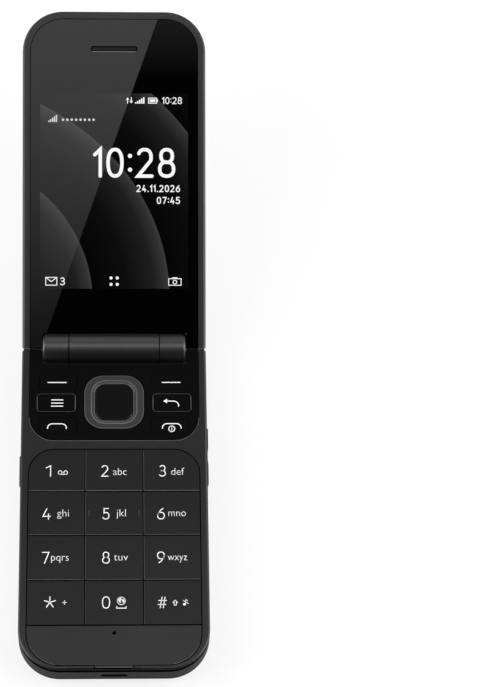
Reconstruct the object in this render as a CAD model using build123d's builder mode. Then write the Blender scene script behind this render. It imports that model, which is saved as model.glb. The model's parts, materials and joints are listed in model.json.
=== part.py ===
from build123d import *
import os
from math import atan, cos, degrees, radians, sin

# A folding phone, open and lying on its back. Millimetres and degrees.
# +X is the user's right, +Y runs from the keypad to the lid, +Z leaves the keypad.
# The origin is on the surface that the back rests on, midway along the base.
# "Along" is a distance from the hinge axis towards the far end of either half.

# ---------------------------------------------------------------- driving dimensions
WIDTH = 54.4
BASE_LENGTH = 100.05  # hinge axis to the base's far end
LID_LENGTH = 100.7  # the lid reaches a little further, as an edge to open it by
BASE_T = 11.6
LID_T = 6.8
SEAM = 0.3  # between the two faces when the phone is shut
OPEN_ANGLE = 156.5
CORNER_R = 12.0  # far corners, in plan
END_SLANT = degrees(atan(0.75 / LID_T))  # the hinge ends lean out towards the backs
END_EDGE = 0.5  # bevel at the sides of the hinge ends
RIM_EDGE = (0.7, 0.5)  # bevel round the outer edge of both faces: across the face, and down
BASE_BACK_R = 4.0
LID_BACK_R = 4.6
CROWN_START = 86.0  # the lid's back falls away from here
CROWN_DROP = 1.5

RIM = 2.15  # frame visible beside the window and the keys
RIM_END = 1.0  # the same beyond the keys
LID_RIM_END = 2.1  # and beyond the window
FACE_HALF = WIDTH / 2 - RIM  # half width of the window, the fascia and the keypad
GAP = 0.12  # round a key, each side
FIT = 0.1  # round a piece that is glued into its seat

BARREL_R = 4.3
BARREL_HALF = 21.0
CENTRE_HALF = 13.2  # the middle knuckle, which is the lid's
KNUCKLE_GAP = 0.3
BARREL_EDGE = (0.5, 0.7)  # bevel at the barrel's two ends: inwards, and along
POCKET_R = BARREL_R + 0.3
BORE_R = 3.0
SHAFT_R = 1.5
SHAFT_LENGTH = 20.2
TUBE_R = 2.4
TUBE_START = 6.0  # x where the right-hand bearing begins
TUBE_LENGTH = 13.8
CAP_R = TUBE_R - 0.03
CAP_T = 0.8
RUNNING = 0.05  # radial clearance of the turning pieces
CARTRIDGE_LENGTH = 13.3
FLEX_START = 1.0

AXIS_Y = 50.0
AXIS_Z = BASE_T + SEAM / 2

# Levels in the base, up from the surface that it rests on
COVER_TOP = 4.1
HOUSING_BOTTOM = 4.2
FRAME_BOTTOM = 9.6
FRAME_LEDGE = 10.2
FASCIA_SEAT = 10.6
FASCIA_TOP = BASE_T - 0.1
KEY_BOTTOM = 10.55
KEY_TOP = BASE_T - 0.15
BAND_TOP = BASE_T - 0.6  # of the dark band under the rim
BAND_BOTTOM = 9.1
BAND_DEPTH = 0.3

# Levels in the lid, down from the hinge axis, square to the lid
FACE_W = -SEAM / 2
BACK_W = FACE_W - LID_T
LID_PARTING = -2.45
WINDOW_TOP = FACE_W - 0.1
WINDOW_T = 1.0
GLASS_T = 1.1

# The base's face, as distances along
FASCIA_END = 29.9
KEYPAD_START = 32.3
ROWS = [32.3, 45.7, 59.4, 73.2, 86.8]  # limits of the four rows of number keys
COLUMNS = [-FACE_HALF, -8.4, 8.4, FACE_HALF]
KEYPAD_END = BASE_LENGTH - RIM_END
WINDOW_END = LID_LENGTH - LID_RIM_END

os.makedirs("parts", exist_ok=True)

# ---------------------------------------------------------------- datum planes and axes
tilt = radians(180 - OPEN_ANGLE)
HINGE = (0, AXIS_Y, AXIS_Z)
LID = Plane(origin=HINGE, x_dir=(1, 0, 0), z_dir=(0, -sin(tilt), cos(tilt)))
LID_SIDE = Plane(origin=HINGE, x_dir=LID.y_dir, z_dir=(1, 0, 0))  # local x along, y up
LID_UP = Axis(HINGE, LID.z_dir)
LID_ALONG = Axis(HINGE, LID.y_dir)
LID_SECTION = Plane(origin=HINGE, x_dir=(1, 0, 0), z_dir=-LID.y_dir)  # local y up
BARREL = Plane(origin=HINGE, x_dir=(0, 1, 0), z_dir=(1, 0, 0))
FAR_WALL = Plane(origin=(0, AXIS_Y - BASE_LENGTH, 0), x_dir=(1, 0, 0), z_dir=(0, -1, 0))
slant = radians(END_SLANT)
BASE_END = Plane(
    origin=(0, AXIS_Y - SEAM / 2, BASE_T), x_dir=(1, 0, 0), z_dir=(0, cos(slant), sin(slant))
)
LID_END = Plane(
    origin=LID.from_local_coords((0, SEAM / 2, FACE_W)),
    x_dir=(1, 0, 0),
    z_dir=LID.y_dir * -cos(slant) + LID.z_dir * sin(slant),
)


def floor(height):
    """A level plane in the base."""
    return Plane.XY.offset(height)


def lid_level(height):
    """A plane parallel to the lid's face."""
    return LID.offset(height)


def at(along):
    """The row's Y at a distance along the base."""
    return AXIS_Y - along


def save(part, name):
    """Names a finished piece and writes it."""
    part.label = name
    export_step(part, f"parts/{name}.step")


# ---------------------------------------------------------------- shared outlines
def studs(places, radius, sides=8):
    """The plan of round studs, or of holes for them, as many-sided prisms."""
    with BuildSketch() as pattern:
        with Locations(*[(x, at(along)) for x, along in places]):
            RegularPolygon(radius, sides)
    return pattern.sketch


def half_plan(near, far, half_width, far_radius=0.0, near_radius=0.0):
    """Plan of a half or of a panel in it: two corners at each end, rounded."""
    low, high = sorted((near, far))
    far_end, near_end = (0, -1) if far < near else (-1, 0)
    with BuildSketch() as plan:
        with Locations((0, (low + high) / 2)):
            Rectangle(2 * half_width, high - low)
        if far_radius:
            fillet(plan.vertices().group_by(Axis.Y)[far_end], far_radius)
        if near_radius:
            fillet(plan.vertices().group_by(Axis.Y)[near_end], near_radius)
    return plan.sketch


def base_plan(start, end, half_width, far_radius=0.0, near_radius=0.0):
    """The same outline between two distances along the base."""
    return half_plan(at(start), at(end), half_width, far_radius, near_radius)


fascia_plan = base_plan(-3, FASCIA_END, FACE_HALF, 7.5)
keypad_plan = base_plan(KEYPAD_START, KEYPAD_END, FACE_HALF, CORNER_R - RIM, 7.8)


def barrel(start, end, radius=POCKET_R):
    """A round bar on the hinge axis, from one x to another."""
    with BuildPart() as piece:
        with BuildSketch(BARREL.offset(start)):
            Circle(radius)
        extrude(amount=end - start)
    return piece.part


def outer_knuckle(start, end):
    """One end of the barrel, between two distances from its middle, with its rim eased."""
    with BuildPart() as piece:
        add(barrel(start, end, BARREL_R))
        rim = piece.faces().sort_by(Axis.X)[-1 if end > start else 0]
        chamfer(rim.edges(), *BARREL_EDGE, reference=rim)
    return piece.part


# ---------------------------------------------------------------- outer forms
with BuildPart() as base_form:
    with BuildSketch(floor(0)):
        add(base_plan(-3, BASE_LENGTH, WIDTH / 2, CORNER_R))
    extrude(amount=BASE_T)
    back_edges = base_form.faces().sort_by(Axis.Z)[0].edges()
    fillet(back_edges.sort_by(Axis.Y)[:-1], BASE_BACK_R)
    face = base_form.faces().sort_by(Axis.Z)[-1]
    chamfer(face.edges().sort_by(Axis.Y)[:-1], *RIM_EDGE, reference=face)
    split(bisect_by=BASE_END, keep=Keep.BOTTOM)
    end_edges = base_form.faces().sort_by(Axis.Y)[-1].edges().group_by(Axis.X)
    chamfer(end_edges[0] + end_edges[-1], END_EDGE)

with BuildPart() as lid_form:
    with BuildSketch(lid_level(FACE_W)):
        add(half_plan(-3, LID_LENGTH, WIDTH / 2, CORNER_R))
    extrude(amount=-LID_T)
    with BuildSketch(LID_SIDE):
        with BuildLine():
            end = (LID_LENGTH, BACK_W + CROWN_DROP)
            crown = TangentArc((CROWN_START, BACK_W), end, tangent=(1, 0))
            beyond = LID_LENGTH + 2
            Polyline(end, (beyond, end[1]), (beyond, BACK_W - 1), (CROWN_START, BACK_W - 1), crown @ 0)
        make_face()
    extrude(amount=WIDTH, both=True, mode=Mode.SUBTRACT)
    back_faces = lid_form.faces().sort_by(LID_UP)[:2]
    shared = back_faces[0].edges() & back_faces[1].edges()
    outline = ShapeList(back_faces[0].edges() + back_faces[1].edges()) - shared
    fillet(outline.sort_by(LID_ALONG)[1:], LID_BACK_R)
    face = lid_form.faces().sort_by(LID_UP)[-1]
    chamfer(face.edges().sort_by(LID_ALONG)[1:], *RIM_EDGE, reference=face)
    split(bisect_by=LID_END, keep=Keep.BOTTOM)
    end_edges = lid_form.faces().sort_by(LID_ALONG)[0].edges().group_by(Axis.X)
    chamfer(end_edges[0] + end_edges[-1], END_EDGE)

# ================================================================ base: housings
USB_Z = BASE_T - 5.2
USB_WIDTH = 7.7
USB_HEIGHT = 1.8
WALL = 1.3
BOARD_SEAT = 8.2
KEYBOARD_SEAT = 9.1
CAVITY_START = 6.0  # just behind the barrel
CAVITY_END = BASE_LENGTH - WALL
CAVITY_HALF = WIDTH / 2 - WALL
FLOOR_TOP = 7.7
FLOOR_BOTTOM = 7.0
BAY = (41.9, 89.1, 21.2)  # battery bay: start, end, half width
POCKET_FLOOR = 5.6  # of the deep pocket between the hinge and the battery
POCKET_END = 40.5
SIDE_KEY_Z = 6.7
SIDE_KEY_H = 2.6
SIDE_KEY_OUT = 0.4  # how far a side key stands out
ROCKER = (24.2, 41.8)  # limits along
SIDE_KEY = (33.0, 42.0)
SIDE_GAP = 0.15
MIC = (0, 89.15)
MIC_HOLE_R = 0.55
SCREW_PLACES = [(-21.2, 31.1), (21.2, 31.1), (-17.0, 92.5), (17.0, 92.5)]
BOSS_R = 1.6
SCREW_R = 0.7
HEAD_R = 1.3
HEAD_DEPTH = 1.2
NOTCH_HALF = 5.6  # finger notch in the rim
NOTCH_END = BASE_LENGTH - 0.32
NOTCH_FLOOR = BASE_T - 0.6
CHIN_FLOOR_START = 87.2
SCREW_ROOM = 0.15  # round a screw's shank or head

band_plan = base_plan(-4, BASE_LENGTH + 2, WIDTH / 2 + 2, CORNER_R + 2) - base_plan(
    -5, BASE_LENGTH - BAND_DEPTH, WIDTH / 2 - BAND_DEPTH, CORNER_R - BAND_DEPTH
)


def mic_plan(width, length):
    """A rectangle at the microphone's place."""
    with BuildSketch() as plan:
        with Locations((MIC[0], at(MIC[1]))):
            Rectangle(width, length)
    return plan.sketch


with BuildPart() as base_front_frame:
    add(base_form.part)
    split(bisect_by=floor(FRAME_BOTTOM), keep=Keep.TOP)
    with BuildSketch(floor(FRAME_BOTTOM)):  # the band under the rim
        add(band_plan)
    extrude(amount=BAND_TOP - FRAME_BOTTOM, mode=Mode.SUBTRACT)
    with BuildSketch(floor(FRAME_BOTTOM)):  # room for the silicone mat
        add(base_plan(CAVITY_START + 0.2, CHIN_FLOOR_START, FACE_HALF - 0.6))
    extrude(amount=FRAME_LEDGE - FRAME_BOTTOM, mode=Mode.SUBTRACT)
    with BuildSketch(floor(FRAME_LEDGE)):  # keypad opening, with a ledge round it
        add(keypad_plan)
    extrude(amount=BASE_T, mode=Mode.SUBTRACT)
    with BuildSketch(floor(FRAME_LEDGE)):  # under the fascia
        add(base_plan(CAVITY_START + 0.2, FASCIA_END - 1, FACE_HALF - 1, 6.5))
    extrude(amount=BASE_T, mode=Mode.SUBTRACT)
    with BuildSketch(floor(FASCIA_SEAT)):
        add(fascia_plan)
    extrude(amount=BASE_T, mode=Mode.SUBTRACT)
    with BuildSketch(floor(NOTCH_FLOOR)):  # finger notch at the far end
        add(base_plan(KEYPAD_END - 0.5, NOTCH_END, NOTCH_HALF))
    extrude(amount=BASE_T, mode=Mode.SUBTRACT)
    add(barrel(-CENTRE_HALF - KNUCKLE_GAP, CENTRE_HALF + KNUCKLE_GAP), mode=Mode.SUBTRACT)
    for side in (-1, 1):
        add(outer_knuckle(side * (CENTRE_HALF + KNUCKLE_GAP), side * BARREL_HALF))
    add(barrel(-BARREL_HALF, -CENTRE_HALF, SHAFT_R), mode=Mode.SUBTRACT)
    add(barrel(CENTRE_HALF, BARREL_HALF, TUBE_R), mode=Mode.SUBTRACT)
    add(barrel(-BARREL_HALF, -BARREL_HALF + CAP_T, TUBE_R), mode=Mode.SUBTRACT)
    with BuildSketch(floor(KEYBOARD_SEAT)):  # screw bosses
        add(studs(SCREW_PLACES, BOSS_R))
    extrude(amount=FRAME_LEDGE + 0.2 - KEYBOARD_SEAT)
    with BuildSketch(floor(KEYBOARD_SEAT)):
        add(studs(SCREW_PLACES, SCREW_R))
    extrude(amount=1.0, mode=Mode.SUBTRACT)
    with BuildSketch(floor(FRAME_BOTTOM)):  # the microphone's window
        add(mic_plan(3.4, 2.4))
    extrude(amount=1, mode=Mode.SUBTRACT)
save(base_front_frame.part, "base_front_frame")

with BuildPart() as base_rear_housing:
    add(base_form.part)
    split(bisect_by=floor(FRAME_BOTTOM), keep=Keep.BOTTOM)
    split(bisect_by=floor(HOUSING_BOTTOM), keep=Keep.TOP)
    with BuildSketch(floor(BAND_BOTTOM)):
        add(band_plan)
    extrude(amount=BASE_T, mode=Mode.SUBTRACT)
    with BuildSketch(floor(FLOOR_TOP)):
        add(base_plan(CAVITY_START, CAVITY_END, CAVITY_HALF, CORNER_R - WALL))
    extrude(amount=BASE_T, mode=Mode.SUBTRACT)
    with BuildSketch(floor(POCKET_FLOOR)):  # deep pocket for the tall components
        add(base_plan(CAVITY_START, POCKET_END, CAVITY_HALF - WALL))
    extrude(amount=BASE_T, mode=Mode.SUBTRACT)
    with BuildSketch(floor(HOUSING_BOTTOM + 0.7)):  # room for the charging socket
        add(base_plan(90.5, CAVITY_END, 9.0))
    extrude(amount=BASE_T, mode=Mode.SUBTRACT)
    with BuildSketch(floor(HOUSING_BOTTOM)):
        add(base_plan(*BAY))
    extrude(amount=FLOOR_BOTTOM - HOUSING_BOTTOM, mode=Mode.SUBTRACT)
    with BuildSketch(floor(HOUSING_BOTTOM)):  # window for the battery contacts
        with Locations((0, at((POCKET_END + BAY[0]) / 2))):
            Rectangle(10.2, BAY[0] - POCKET_END + 1)
    extrude(amount=FLOOR_BOTTOM - HOUSING_BOTTOM, mode=Mode.SUBTRACT)
    add(barrel(-BARREL_HALF - KNUCKLE_GAP, BARREL_HALF + KNUCKLE_GAP), mode=Mode.SUBTRACT)
    with BuildSketch(FAR_WALL):
        with Locations((0, USB_Z)):
            SlotOverall(USB_WIDTH, USB_HEIGHT)
    extrude(amount=-2 * WALL, mode=Mode.SUBTRACT)
    for side, (start, end) in ((1, ROCKER), (-1, SIDE_KEY)):
        with BuildSketch(Plane.YZ.offset(side * (CAVITY_HALF - WALL - 0.2))):
            with Locations((at((start + end) / 2), SIDE_KEY_Z)):
                Rectangle(end - start + 2 * SIDE_GAP, SIDE_KEY_H + 2 * SIDE_GAP)
        extrude(amount=side * 4, mode=Mode.SUBTRACT)
    with BuildSketch(floor(HOUSING_BOTTOM)):  # columns that the screws pull against
        add(studs(SCREW_PLACES, BOSS_R + 0.4))
    extrude(amount=BOARD_SEAT - HOUSING_BOTTOM)
    with BuildSketch(floor(HOUSING_BOTTOM)):
        add(studs(SCREW_PLACES, HEAD_R + SCREW_ROOM))
    extrude(amount=HEAD_DEPTH, mode=Mode.SUBTRACT)
    with BuildSketch(floor(HOUSING_BOTTOM)):
        add(studs(SCREW_PLACES, SCREW_R + SCREW_ROOM))
    extrude(amount=BASE_T, mode=Mode.SUBTRACT)
save(base_rear_housing.part, "base_rear_housing")

# The cover's inside follows its outside, one wall in.
COVER_WALL = 1.0
CAMERA = (0, 11.0)
SPEAKER = (15.0, 13.0)
with BuildPart() as cover_inside:
    inner_half = WIDTH / 2 - COVER_WALL
    with BuildSketch(floor(COVER_WALL)):
        add(base_plan(0.6, BASE_LENGTH - COVER_WALL, inner_half, CORNER_R - COVER_WALL))
    extrude(amount=COVER_TOP)
    chamfer(cover_inside.faces().sort_by(Axis.Z)[0].edges(), 2.2)

with BuildPart() as battery_cover:
    add(base_form.part)
    split(bisect_by=floor(COVER_TOP), keep=Keep.BOTTOM)
    add(cover_inside.part, mode=Mode.SUBTRACT)
    with Locations(Location((CAMERA[0], at(CAMERA[1]), 0), (180, 0, 0))):
        CounterBoreHole(3.2, 4.3, 0.65)
    with BuildSketch(floor(0)):  # sound slots
        with Locations((SPEAKER[0], at(SPEAKER[1]))):
            with GridLocations(2.0, 1, 5, 1):
                Rectangle(0.9, 7.0)
    extrude(amount=COVER_WALL, mode=Mode.SUBTRACT)
    with BuildSketch(Plane.YZ.offset(-WIDTH / 2)):  # nail notch for lifting the cover
        with Locations((at(88), COVER_TOP + 1.6)):
            Circle(2.6)
    extrude(amount=0.6, both=True, mode=Mode.SUBTRACT)
save(battery_cover.part, "battery_cover")

# ================================================================ base: face panels
SOFT = (16.4, 10.6, (11.0, 4.8, 1.2))  # x from the middle, along, (width, length, radius)
MENU = (17.0, 17.5, (11.5, 5.9, 1.2))
CALL = (16.4, 24.8, (11.0, 5.0, 1.6))
NAV_ALONG = 17.3
RING_OUTLINE = (17.5, 17.1, 5.6)
CENTRE_OUTLINE = (10.8, 11.3, 2.8)
NAV_GAP = 0.25
KEY_EDGE = 0.12  # bevel round the number keys and the chin
CAP_EDGE = 0.15  # and round the fascia and the keys in it


def grown(size, gap):
    """A rounded rectangle's size with a gap added all round."""
    width, length, radius = size
    return width + 2 * gap, length + 2 * gap, radius + gap


def key_plan(size, gap=0.0):
    """Plan of a key beside the ring: rounded corners where it's raised, cut ones where it's flush."""
    width, length, corner = grown(size, gap)
    with BuildSketch() as plan:
        Rectangle(width, length)
        if size == MENU[2]:
            fillet(plan.vertices(), corner)
        else:
            chamfer(plan.vertices(), corner / 2)
    return plan.sketch


with BuildPart() as fascia_panel:
    with BuildSketch(floor(FASCIA_SEAT)):
        add(base_plan(SEAM / 2 + FIT, FASCIA_END - FIT, FACE_HALF - FIT, 7.4))
    extrude(amount=FASCIA_TOP - FASCIA_SEAT)
    add(barrel(-BARREL_HALF - KNUCKLE_GAP, BARREL_HALF + KNUCKLE_GAP, POCKET_R + 0.05), mode=Mode.SUBTRACT)
    top = fascia_panel.faces().sort_by(Axis.Z)[-1]
    chamfer(top.outer_wire().edges().sort_by(Axis.Y)[:5], CAP_EDGE)
    with BuildSketch(floor(FASCIA_SEAT)):
        for x, along, size in (SOFT, MENU, CALL):
            with Locations((-x, at(along)), (x, at(along))):
                add(key_plan(size, GAP))
        with Locations((0, at(NAV_ALONG))):
            RectangleRounded(*grown(RING_OUTLINE, NAV_GAP))
    extrude(amount=BASE_T, mode=Mode.SUBTRACT)
save(fascia_panel.part, "fascia_panel")

with BuildPart() as chin_panel:
    with BuildSketch(floor(FRAME_LEDGE)):
        add(keypad_plan)
        offset(amount=-FIT)
        add(base_plan(ROWS[-1] + GAP, KEYPAD_END + 5, WIDTH / 2), mode=Mode.INTERSECT)
    extrude(amount=KEY_TOP - FRAME_LEDGE)
    chamfer(chin_panel.faces().sort_by(Axis.Z)[-1].edges(), KEY_EDGE)
    with BuildSketch(Plane.YZ):  # the sloping tongue in the finger notch
        with BuildLine():
            Polyline(
                (at(KEYPAD_END - 1), NOTCH_FLOOR + FIT / 2),
                (at(KEYPAD_END - 1), KEY_TOP - KEY_EDGE),
                (at(KEYPAD_END), KEY_TOP - KEY_EDGE),
                (at(NOTCH_END - SIDE_GAP), NOTCH_FLOOR + FIT),
                (at(NOTCH_END - SIDE_GAP), NOTCH_FLOOR + FIT / 2),
                close=True,
            )
        make_face()
    extrude(amount=NOTCH_HALF - SIDE_GAP, both=True)
    with BuildSketch(floor(FRAME_LEDGE)):
        add(studs(SCREW_PLACES[2:], BOSS_R + SCREW_ROOM))
        add(mic_plan(3.4, 2.4))
    extrude(amount=0.5, mode=Mode.SUBTRACT)
    with BuildSketch(floor(FRAME_LEDGE)):
        with Locations((MIC[0], at(MIC[1]))):
            Circle(MIC_HOLE_R)
    extrude(amount=BASE_T, mode=Mode.SUBTRACT)
save(chin_panel.part, "chin_panel")

# ================================================================ base: keys
STEM = 2.6  # side of the square stem under each key
STEM_BOTTOM = 10.0
KEY_NAMES = [
    ["key_1", "key_2", "key_3"],
    ["key_4", "key_5", "key_6"],
    ["key_7", "key_8", "key_9"],
    ["key_star", "key_0", "key_hash"],
]
key_centres = []
for row, names in enumerate(KEY_NAMES):
    for column, name in enumerate(names):
        left, right = COLUMNS[column] + GAP, COLUMNS[column + 1] - GAP
        upper, lower = at(ROWS[row]) - GAP, at(ROWS[row + 1]) + GAP
        middle = ((left + right) / 2, (upper + lower) / 2)
        key_centres.append(middle)
        with BuildPart() as number_key:
            with BuildSketch(floor(KEY_BOTTOM)):
                add(keypad_plan)
                offset(amount=-GAP)
                with Locations(middle):
                    Rectangle(right - left, upper - lower, mode=Mode.INTERSECT)
            extrude(amount=KEY_TOP - KEY_BOTTOM)
            chamfer(number_key.faces().sort_by(Axis.Z)[-1].edges(), KEY_EDGE)
            with BuildSketch(floor(STEM_BOTTOM)):
                with Locations(middle):
                    Rectangle(STEM, STEM)
            extrude(amount=KEY_BOTTOM - STEM_BOTTOM)
            if name == "key_5":  # the two ticks that a thumb finds
                with BuildSketch(floor(KEY_TOP)):
                    with Locations(middle):
                        with GridLocations(14.4, 1, 2, 1):
                            Rectangle(0.35, 1.9)
                extrude(amount=0.12)
        save(number_key.part, name)

SIDE_NAMES = [
    ("left_soft_key", -1, SOFT, FASCIA_TOP),
    ("right_soft_key", 1, SOFT, FASCIA_TOP),
    ("menu_key", -1, MENU, BASE_T),
    ("back_key", 1, MENU, BASE_T),
    ("call_key", -1, CALL, FASCIA_TOP),
    ("end_key", 1, CALL, FASCIA_TOP),
]
for name, side, (x, along, size), top_z in SIDE_NAMES:
    middle = (side * x, at(along))
    key_centres.append(middle)
    with BuildPart() as side_cap:
        with BuildSketch(floor(KEY_BOTTOM)):
            with Locations(middle):
                add(key_plan(size))
        extrude(amount=top_z - KEY_BOTTOM)
        if top_z > FASCIA_TOP:  # the two raised ones
            chamfer(side_cap.faces().sort_by(Axis.Z)[-1].edges(), CAP_EDGE)
        with BuildSketch(floor(STEM_BOTTOM)):
            with Locations(middle):
                Rectangle(STEM, STEM)
        extrude(amount=KEY_BOTTOM - STEM_BOTTOM)
    save(side_cap.part, name)

RING_TOP = BASE_T + 0.05
RING_EDGE = 0.25
DISH_EDGE = (0.95, 0.35)  # the ring slopes in towards the centre key: across, and down
with BuildPart() as nav_ring:
    with BuildSketch(floor(KEY_BOTTOM)):
        with Locations((0, at(NAV_ALONG))):
            RectangleRounded(*RING_OUTLINE)
            RectangleRounded(*grown(CENTRE_OUTLINE, NAV_GAP), mode=Mode.SUBTRACT)
    extrude(amount=RING_TOP - KEY_BOTTOM)
    top = nav_ring.faces().sort_by(Axis.Z)[-1]
    chamfer(top.inner_wires()[0].edges(), *DISH_EDGE, reference=top)
    chamfer(nav_ring.faces().sort_by(Axis.Z)[-1].outer_wire().edges(), RING_EDGE)
save(nav_ring.part, "nav_ring")

PAD_BOTTOM = 10.0
PAD_TOP = 10.2
PAD = (16.0, 15.6)
PAD_HOLE = (12.5, 12.6)
with BuildPart() as nav_pad:
    with BuildSketch(floor(PAD_BOTTOM)):
        with Locations((0, at(NAV_ALONG))):
            Rectangle(*PAD)
            Rectangle(*PAD_HOLE, mode=Mode.SUBTRACT)
    extrude(amount=PAD_TOP - PAD_BOTTOM)
save(nav_pad.part, "nav_pad")

with BuildPart() as centre_key:
    with BuildSketch(floor(KEY_BOTTOM)):
        with Locations((0, at(NAV_ALONG))):
            RectangleRounded(*CENTRE_OUTLINE)
    extrude(amount=FASCIA_TOP - KEY_BOTTOM)
    chamfer(centre_key.faces().sort_by(Axis.Z)[-1].edges(), CAP_EDGE)
    with BuildSketch(floor(STEM_BOTTOM)):
        with Locations((0, at(NAV_ALONG))):
            Rectangle(STEM, STEM)
    extrude(amount=KEY_BOTTOM - STEM_BOTTOM)
save(centre_key.part, "centre_key")

SIDE_KEY_IN = CAVITY_HALF - 0.6
with BuildPart() as volume_rocker:
    with BuildSketch(Plane.YZ.offset(SIDE_KEY_IN)):
        with Locations((at(sum(ROCKER) / 2), SIDE_KEY_Z)):
            Rectangle(ROCKER[1] - ROCKER[0], SIDE_KEY_H)
    extrude(amount=WIDTH / 2 + SIDE_KEY_OUT - SIDE_KEY_IN)
    chamfer(volume_rocker.faces().sort_by(Axis.X)[-1].edges(), 0.25)
    with BuildSketch(floor(SIDE_KEY_Z)):  # the dip between louder and quieter
        with Locations((WIDTH / 2 + SIDE_KEY_OUT + 19.8, at(sum(ROCKER) / 2))):
            Circle(20.0)
    extrude(amount=SIDE_KEY_H, both=True, mode=Mode.SUBTRACT)
save(volume_rocker.part, "volume_rocker")

with BuildPart() as side_key:
    with BuildSketch(Plane.YZ.offset(-SIDE_KEY_IN)):
        with Locations((at(sum(SIDE_KEY) / 2), SIDE_KEY_Z)):
            Rectangle(SIDE_KEY[1] - SIDE_KEY[0], SIDE_KEY_H)
    extrude(amount=-(WIDTH / 2 + SIDE_KEY_OUT - SIDE_KEY_IN))
    chamfer(side_key.faces().sort_by(Axis.X)[0].edges(), 0.25)
save(side_key.part, "side_key")

# ================================================================ base: inside
nav_middle = (0, at(NAV_ALONG))
nav_domes = [nav_middle] + [
    (nav_middle[0] + dx, nav_middle[1] + dy) for dx, dy in ((7.2, 0), (-7.2, 0), (0, 7.0), (0, -7.0))
]

with BuildPart() as keymat:
    with BuildSketch(floor(9.9)):
        add(base_plan(CAVITY_START + 0.4, CHIN_FLOOR_START - 0.2, FACE_HALF - 0.8))
    extrude(amount=0.2)
    with BuildSketch(floor(FRAME_BOTTOM)):  # the foot that it stands on
        add(base_plan(CAVITY_START + 0.4, CHIN_FLOOR_START - 0.2, FACE_HALF - 0.8))
        offset(amount=-0.9, mode=Mode.SUBTRACT)
    extrude(amount=0.3)
    with BuildSketch(floor(FRAME_BOTTOM)):
        with Locations(*key_centres):
            Rectangle(STEM + 1.0, STEM + 1.0)
        with Locations(nav_middle):
            Rectangle(PAD[0] + 1.0, PAD[1] + 1.0)
        add(studs(SCREW_PLACES[:2], BOSS_R + 0.2))
    extrude(amount=BASE_T, mode=Mode.SUBTRACT)
save(keymat.part, "keymat")

DOME_R = 2.2  # to the tip of each of its four legs
with BuildPart() as metal_domes:
    with BuildSketch(floor(FRAME_BOTTOM)):
        with Locations(*key_centres, *nav_domes):
            RegularPolygon(DOME_R, 4)
    extrude(amount=0.08)
save(metal_domes.part, "metal_domes")


def board(seat, thickness, hole_radius, name):
    """A circuit board that fills the base's cavity, drilled for the screws."""
    with BuildPart() as piece:
        with BuildSketch(floor(seat)):
            add(base_plan(CAVITY_START + 0.3, CAVITY_END - 0.3, CAVITY_HALF - 0.3, 10.4))
            add(studs(SCREW_PLACES, hole_radius), mode=Mode.SUBTRACT)
        extrude(amount=thickness)
    save(piece.part, name)


board(KEYBOARD_SEAT, FRAME_BOTTOM - KEYBOARD_SEAT, BOSS_R + 0.15, "keypad_board")
board(BOARD_SEAT, 0.8, SCREW_R + 0.2, "main_board")

CANS = [(-9.0, 15.0, 22.0, 12.0), (14.0, 15.5, 16.0, 13.0), (2.0, 31.5, 30.0, 14.0)]
with BuildPart() as shield_cans:
    for x, along, width, length in CANS:
        with BuildSketch(floor(BOARD_SEAT - 1.9)):
            with Locations((x, at(along))):
                Rectangle(width, length)
        extrude(amount=1.9)
save(shield_cans.part, "shield_cans")

with BuildPart() as battery:
    with BuildSketch(floor(COVER_WALL + 0.1)):
        add(base_plan(BAY[0] + 0.4, BAY[1] - 0.4, BAY[2] - 0.4))
    extrude(amount=FLOOR_BOTTOM - COVER_WALL - 0.2)
    chamfer(battery.edges(), 0.5)
save(battery.part, "battery")

with BuildPart() as battery_contacts:
    with BuildSketch(floor(HOUSING_BOTTOM)):
        with Locations((0, at((POCKET_END + BAY[0]) / 2 - 0.1))):
            Rectangle(10.0, BAY[0] - POCKET_END)
    extrude(amount=2.6)
    with BuildSketch(floor(HOUSING_BOTTOM + 0.8)):  # three spring blades
        with Locations((0, at(BAY[0]))):
            with GridLocations(2.8, 1, 3, 1):
                Rectangle(1.0, 0.6)
    extrude(amount=1.0)
save(battery_contacts.part, "battery_contacts")

SIM = (-12.0, 28.0)
with BuildPart() as sim_card_holder:
    with BuildSketch(floor(HOUSING_BOTTOM - 1.5)):
        with Locations((SIM[0], at(SIM[1]))):
            Rectangle(15.0, 17.0)
    extrude(amount=1.5)
    with BuildSketch(floor(HOUSING_BOTTOM - 1.2)):  # the card's slot, open towards the battery
        with Locations((SIM[0], at(SIM[1] + 1.5))):
            Rectangle(12.6, 17.0)
    extrude(amount=0.9, mode=Mode.SUBTRACT)
    with BuildSketch(floor(HOUSING_BOTTOM - 1.5)):
        with Locations((SIM[0], at(SIM[1] + 4))):
            Rectangle(8.0, 6.0)
    extrude(amount=0.5, mode=Mode.SUBTRACT)
save(sim_card_holder.part, "sim_card_holder")

with BuildPart() as loudspeaker:
    with BuildSketch(floor(COVER_WALL + 0.1)):
        with Locations((SPEAKER[0], at(SPEAKER[1]))):
            Rectangle(15.0, 11.0)
    extrude(amount=HOUSING_BOTTOM - COVER_WALL - 0.1)
    with BuildSketch(floor(COVER_WALL + 0.1)):  # the cone's well
        with Locations((SPEAKER[0], at(SPEAKER[1]))):
            Rectangle(12.0, 8.0)
    extrude(amount=0.6, mode=Mode.SUBTRACT)
save(loudspeaker.part, "loudspeaker")

with BuildPart() as camera_module:
    with BuildSketch(floor(COVER_WALL + 0.9)):
        with Locations((CAMERA[0], at(CAMERA[1]))):
            Rectangle(8.0, 8.0)
    extrude(amount=HOUSING_BOTTOM - COVER_WALL - 0.9)
    with BuildSketch(floor(COVER_WALL)):  # lens barrel
        with Locations((CAMERA[0], at(CAMERA[1]))):
            Circle(2.8)
    extrude(amount=0.9)
    with BuildSketch(floor(COVER_WALL)):
        with Locations((CAMERA[0], at(CAMERA[1]))):
            Circle(1.4)
    extrude(amount=0.5, mode=Mode.SUBTRACT)
save(camera_module.part, "camera_module")

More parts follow.
